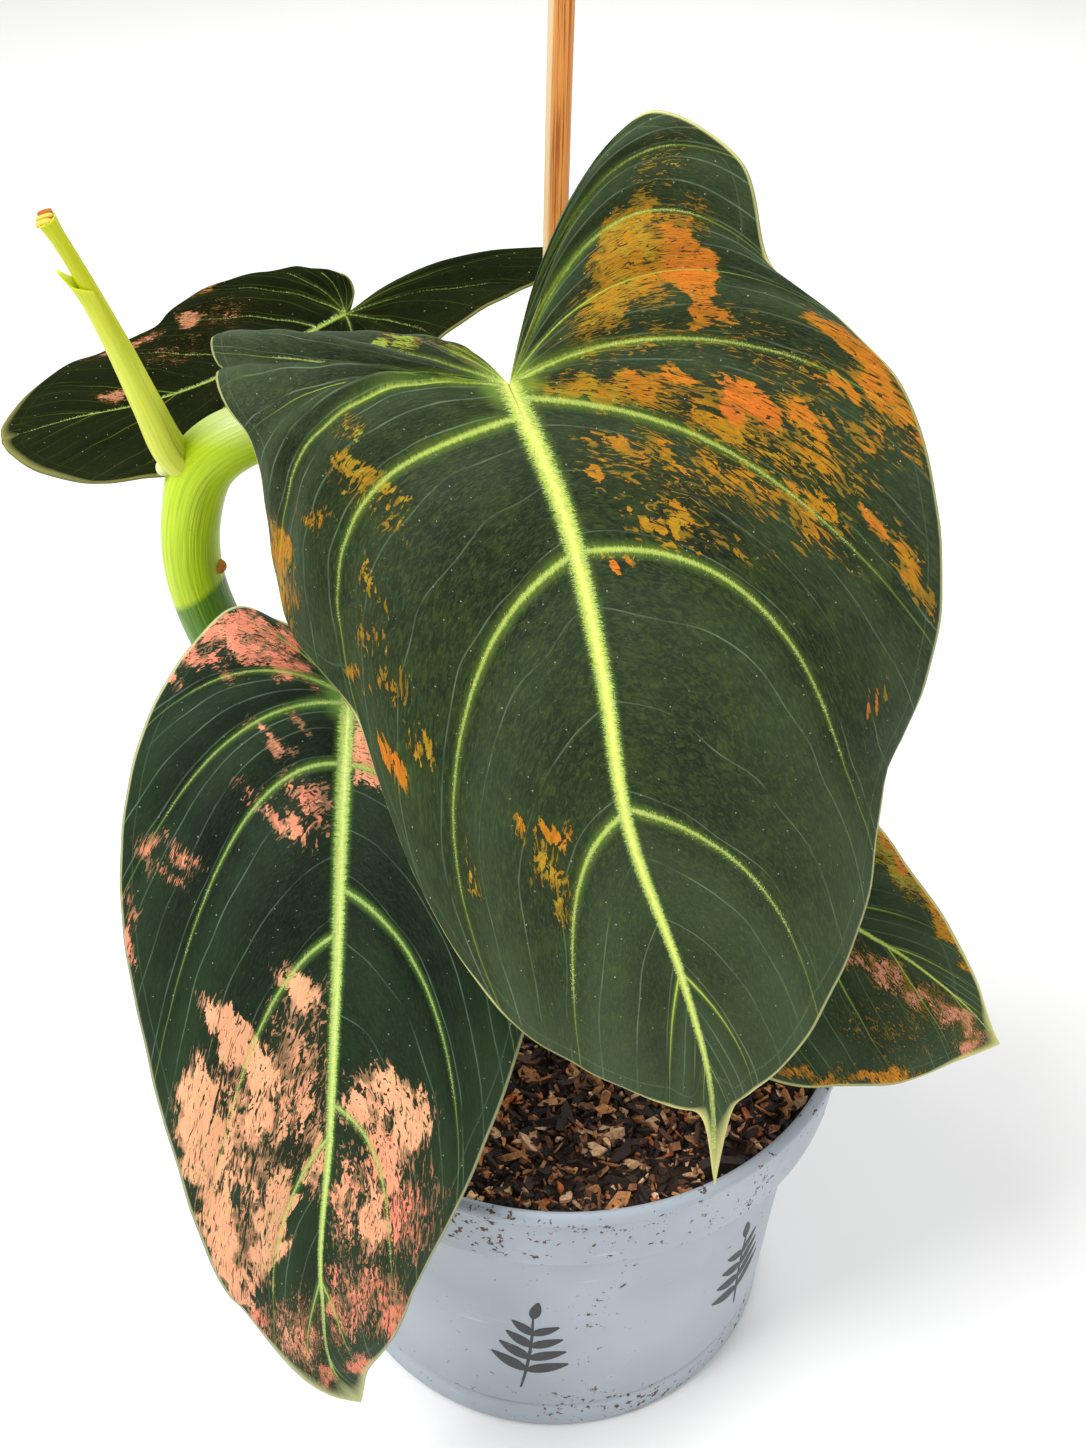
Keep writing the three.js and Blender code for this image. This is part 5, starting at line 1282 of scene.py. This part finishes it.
SALMON_COLOURS = {
    "deep": "#08120A", "mid": "#142412", "olive": "#22341A", "painted light": "#304628", "light": "#2E4526",
    "fine vein": "#86A388", "glow": "#7FAA45", "vein": "#B8D66C", "core": "#E6F090", "margin": "#CFCF94",
    "patch tint": "#28301C", "dull patch": "#8A6A4A", "green patch": "#8FB23A", "cool patch": "#F5B98C",
    "warm patch": "#EE8069", "scar": "#A5683A", "patch shade": "#E99E72", "under": "#46543A",
    "under vein": "#A9BC6C",
}
left_leaf_velvet = velvet_leaf("velvet leaf, salmon variegated", SALMON_COLOURS, 1.6, 0.5, 136, 0.12)
LEFT_PATCHES = [
    (-1, 22, -5.2, 5, 1.2, -14, 1.4, 0.8), (-1, 17, -4, 9, 2.2, -16, 0.9, 0.8),
    (-1, 28, -2.6, 4, 2, -35, 1.7, 0.9), (-1, 11, -3, 7, 1.6, -15, 0.9, 0.9),
    (-1, 24, -1.6, 7, 2.2, -20, 0.6, 0.9), (-1, 31, 1, 3.5, 1.4, -60, 1.5, 0.8),
    (-1, 17, -7.5, 9, 2.6, -6, 0.95, 0.85), (-1, 9, -6.5, 5, 2, 20, 0.8, 0.85),
    (-1, 12.5, 9.3, 4, 1.2, -28, 0.95, 0.6), (-1, 8, 6, 3, 0.8, -30, 0.7, 0.6),
    (-1, 6, 17.5, 5, 3.4, -38, 0.74, 0.8), (-1, 9, 22.5, 5, 1.6, -32, 1.0, 0.7),
    (-1, 3, 20, 1.8, 4, 0, 0.7, 0.8), (-1, 14, 19, 4, 2, -32, 0.6, 0.8),
    (-1, 26, 29, 5, 1.4, -38, 0.75, 0.8), (-1, 27.5, 33, 3, 2, 0, 0.6, 0.9),
    (-1, 32, 29, 2, 3, 0, 0.7, 0.9), (-1, 35, 43, 1.3, 7, 0, 0.85, 0.9),
    (-1, 35.5, 55, 1.0, 6, 0, 0.8, 0.9),
    (1, 4.2, 10.5, 3.6, 4, 0, 2.2, 0.5), (1, 2.5, 5, 1.6, 3.6, -15, 2.2, 0.0),
    (-1, 6, 50, 5.5, 2.6, -38, 1.5, 0.0), (-1, 15, 60, 9, 3, -52, 2.0, 0.1),
    (-1, 21.5, 76, 3.6, 12, 5, 2.2, 0.0), (-1, 17.5, 95, 2.8, 9, 12, 2.0, 0.05),
    (-1, 14.5, 105, 2.4, 5, 10, 2.0, 0.15), (-1, 8.7, 93, 2.6, 11, -8, 2.2, -0.05),
    (-1, 14, 77, 8, 20, 0, 0.66, 0.1), (-1, 6, 64, 6, 14, 0, 0.7, 0.15),
    (-1, 12.5, 72, 3, 6, -25, 1.4, 0.1), (-1, 13, 96, 3, 12, 8, 0.66, 0.2), (-1, 2, 80, 2, 8, 0, 1.1, 0.1),
    (-1, 5, 116, 6, 10, 0, 0.62, 0.4), (-1, 12, 113, 3, 6, 0, 0.8, 0.9), (-1, 2, 127, 1.4, 4, 0, 1.0, 0.9),
    (1, 11.5, 66, 6, 2.8, 28, 1.7, 0.0), (1, 14.5, 73, 3, 3.2, 0, 2.0, 0.0), (1, 6, 70, 5, 5, 0, 0.9, 0.2),
    (1, 10, 78, 5, 8, 0, 0.85, 0.4), (1, 9, 90, 2.4, 7, 0, 1.5, 0.1), (1, 15, 88, 6, 10, 0, 0.62, 0.9),
    (1, 4, 88, 3, 10, 0, 0.75, 0.4), (1, 8, 106, 8, 9, 0, 0.66, 0.8), (1, 13, 112, 3, 7, 0, 1.0, 0.9),
    (1, 6, 126, 3, 5, 0, 1.3, 0.9), (1, 3, 112, 2.4, 9, 0, 0.8, 0.7),
]
left_blade = leaf_blade("left_leaf", LEFT_BLADE, left_leaf_velvet, 221, 65, LEFT_PATCHES)
stands_for(left_blade, "leaf_blade", "left_blade")

# Back leaf: darker, browner colours than the gold leaf's, its own olive darkened with painted shade.
back_leaf_velvet = velvet_leaf("velvet leaf, olive and pink", {
    **GOLD_COLOURS, "deep": "#0D120A", "mid": "#191D0C", "olive": "#26260C", "painted light": "#222A17",
    "light": "#2C3216", "fine vein": "#4F5A2C", "glow": "#46581C", "vein": "#708432", "core": "#9CB44C",
    "margin": "#8C8A4E", "cool patch": "#A87438", "warm patch": "#C98A68", "dull patch": "#4A3E1C",
    "patch shade": "#7C4E28", "patch tint": "#1E1C0C",
}, 0.9, 0.3, 70, 0.0)
BACK_PATCHES = [
    (-1, 21.5, 26, 4, 2.6, 20, 1.1, 1.0), (-1, 29, 17, 1.4, 8, 10, 0.85, 0.1),
    (-1, 21, 42, 2.4, 9, 10, 0.72, 0.9), (-1, 4, 48, 2, 3.4, 0, 0.9, 1.0),
    (-1, 17, 20, 7, 5, 0, 0.42, 0.5),
    (1, 6, 26, 3, 5, 0, 0.45, 0.6),
    (-1, 12, 34, 5, 8, 0, 0.38, 0.6),
]
back_blade = leaf_blade("back_leaf", BACK_BLADE, back_leaf_velvet, 181, 55, BACK_PATCHES)
stands_for(back_blade, "leaf_blade", "back_blade")

right_leaf_velvet = velvet_leaf("velvet leaf, gold and pink", {
    **GOLD_COLOURS, "deep": "#12201A", "mid": "#223626", "cool patch": "#B9A03A", "warm patch": "#E8912A",
    "scar": "#EDA07F",
}, 1.0, 0.42, 84, 0.1)
RIGHT_PATCHES = [
    # Here 2 is the pink of the flecks beside the midrib.
    (1, 16, 40, 3.2, 17, 18, 1.2, -0.3), (1, 15.5, 46, 1.5, 10, 24, 2.4, 1.0),
    (1, 9.5, 58, 1.4, 11, 24, 1.3, 0.7),
    (-1, 4.5, 57, 3, 13, 0, 0.72, 2.0), (-1, 2.5, 72, 2.5, 9, 0, 0.85, 2.0),
    (-1, 5, 77, 3, 4, 0, 1.0, 2.0), (-1, 20, 66, 2.0, 10, 30, 1.05, 0.8),
    (-1, 27.5, 55, 1.6, 12, 10, 0.95, 0.9), (-1, 13, 60, 5, 10, 15, 0.3, 0.3),
]
right_blade = leaf_blade("right_leaf", RIGHT_BLADE, right_leaf_velvet, 199, 55, RIGHT_PATCHES)
stands_for(right_blade, "leaf_blade", "right_blade")


# Leaf hairs. The pale fur along the midrib and the side veins: closed three-sided spikes up to a
# millimetre long, drawn a tenth of a millimetre thick so that they show, each sunk in the leaf.
HAIR_RADIUS = 0.045
HAIR_SINK = 0.2

hair_skin, hair_tree = new_material("leaf hairs, translucent")
# Colourless cells that take the vein's green and catch the light.
surface = add_node(hair_tree, "BsdfPrincipled",
                   {"Base Color": "#DCEB9C", "Roughness": 0.45, "Subsurface Weight": 0.3,
                    "Subsurface Radius": (0.001, 0.001, 0.0005)})
add_node(hair_tree, "OutputMaterial", {"Surface": surface})


def hair_roots(blade, side, count, source):
    """Roots, leans and lengths of one half's hairs, half of them within the fur's width beside the
    midrib and half beside the strong veins, thinner towards the margin."""
    veins = blade["veins"][side]
    tip = veins[-1][0]
    b = source.uniform(0.5, 0.94 * tip, count // 2)
    s = blade["fur width"] * (0.85 - 0.8 * b / tip) * source.random(len(b)) ** 0.6
    root, out = leaf_normal(blade, side, s, b)
    outward = unit(leaf_sheet(blade, side, s + 0.5, b) - root)
    onward = unit(leaf_sheet(blade, side, s, b + 0.5) - root)
    size = 1.0 - 0.7 * b / tip

    strong = np.flatnonzero(np.array(blade["vein strength"]) >= 0.8)
    vein = source.choice(strong, count - len(b))
    v = 0.02 + 0.75 * source.random(len(vein)) ** 1.3
    aside = source.normal(0, 0.012, len(vein))
    vein_s, vein_b = on_pattern(veins, vein + aside, v)
    vein_root, vein_out = leaf_normal(blade, side, vein_s, vein_b)
    vein_lift = leaf_lift(blade, side, vein + aside, v, vein_s, vein_b)
    next_root = leaf_sheet(blade, side, *on_pattern(veins, vein + aside, v + 0.01))
    vein_onward = unit(next_root - vein_root)
    vein_aside = side * np.sign(aside)[:, None] * np.cross(vein_out, vein_onward)
    vein_size = 0.9 - 0.5 * v
    scale = 0.4 + 0.18 * blade["fur width"]

    roots = np.concatenate([root, vein_root + vein_lift[:, None] * vein_out])
    out = np.concatenate([out, vein_out])
    outward = np.concatenate([outward, vein_aside])
    onward = np.concatenate([onward, vein_onward])
    lean = 0.75 * out + 0.75 * outward + 0.25 * onward + source.normal(0, 0.22, out.shape)
    return roots + 0.5 * BLADE_THICKNESS * out, unit(lean), scale * np.concatenate([size, vein_size])


def leaf_hairs(name, blade, count, source):
    """All of a leaf's hairs in one mesh: each is a base triangle round its root and a tip."""
    halves = [hair_roots(blade, side, count // 2, source) for side in (-1, 1)]
    root, lean, size = (np.concatenate(part) for part in zip(*halves))
    size = size * source.uniform(0.6, 1.2, len(size))
    first = unit(np.cross(lean, source.normal(0, 1, lean.shape)))
    second = np.cross(lean, first)
    foot = root - HAIR_SINK * lean
    corners = [foot + HAIR_RADIUS * (np.cos(angle) * first + np.sin(angle) * second)
               for angle in 2 * np.pi * np.arange(3) / 3]
    points = np.stack([*corners, root + size[:, None] * lean], axis=1)
    spike = np.array([[2, 1, 0], [0, 1, 3], [1, 2, 3], [2, 0, 3]])
    faces = spike[None] + 4 * np.arange(len(points))[:, None, None]
    return add_piece(name, points.reshape(-1, 3), [faces.reshape(-1, 3)], hair_skin, smooth=False)


HAIRS = {"front": (FRONT_BLADE, 11000), "left": (LEFT_BLADE, 8000), "back": (BACK_BLADE, 2500),
         "right": (RIGHT_BLADE, 3500)}
for place, (blade, count) in HAIRS.items():
    hairs = leaf_hairs(f"{place}_hairs", blade, count, random)
    stands_for(hairs, "leaf_blade")


# Living petioles. Round fleshy stalks that leave the stem's upper end and run into the back of
# each blade at its notch.
PETIOLE_JOINT = 2.5
PETIOLE_ENDS = [(8.35, 1.0), (2.35, 1.0), (0.6, 1.15)]  # depth behind the blade, share of the radius
petiole_skin = green_skin("petiole skin, bright green", "#B9D052", "#8FB23A", "#D6E07E", (0, 12), 0.3, 0.4)
PETIOLES = {
    "front": (FRONT_BLADE, [
        (-19, 25, 192, 2.6), (-12, 23, 204, 2.3), (-9, 14, 217, 2.1)]),
    "left": (LEFT_BLADE, [
        (-36, 19, 206, 2.6), (-39, 20, 196, 2.2), (-41, 14, 183, 2), (-40, 2, 173, 1.9)]),
    "back": (BACK_BLADE, [
        (-47, 15, 207, 2.4), (-47, 21, 197, 2.1), (-47, 32, 188, 1.9), (-47, 50, 187, 1.8)]),
    "right": (RIGHT_BLADE, [
        (-18, 25, 190, 2.5), (-8, 27, 176, 2.1), (2, 24, 158, 1.9), (10, 14, 142, 1.8)]),
}
for place, (blade, rows) in PETIOLES.items():
    joint_b = np.array(PETIOLE_JOINT)
    joint = through(blade["midrib"], joint_b)
    out = leaf_frame(blade, 1, joint_b)[2]
    radius = rows[-1][3]
    ends = [(*(joint - depth * out), radius * grow) for depth, grow in PETIOLE_ENDS]
    petiole = stalk(f"{place}_stalk", rows + ends, petiole_skin, 90, 20, (1, 0, 0))
    stands_for(petiole, "petiole_skin", f"{place}_petiole")
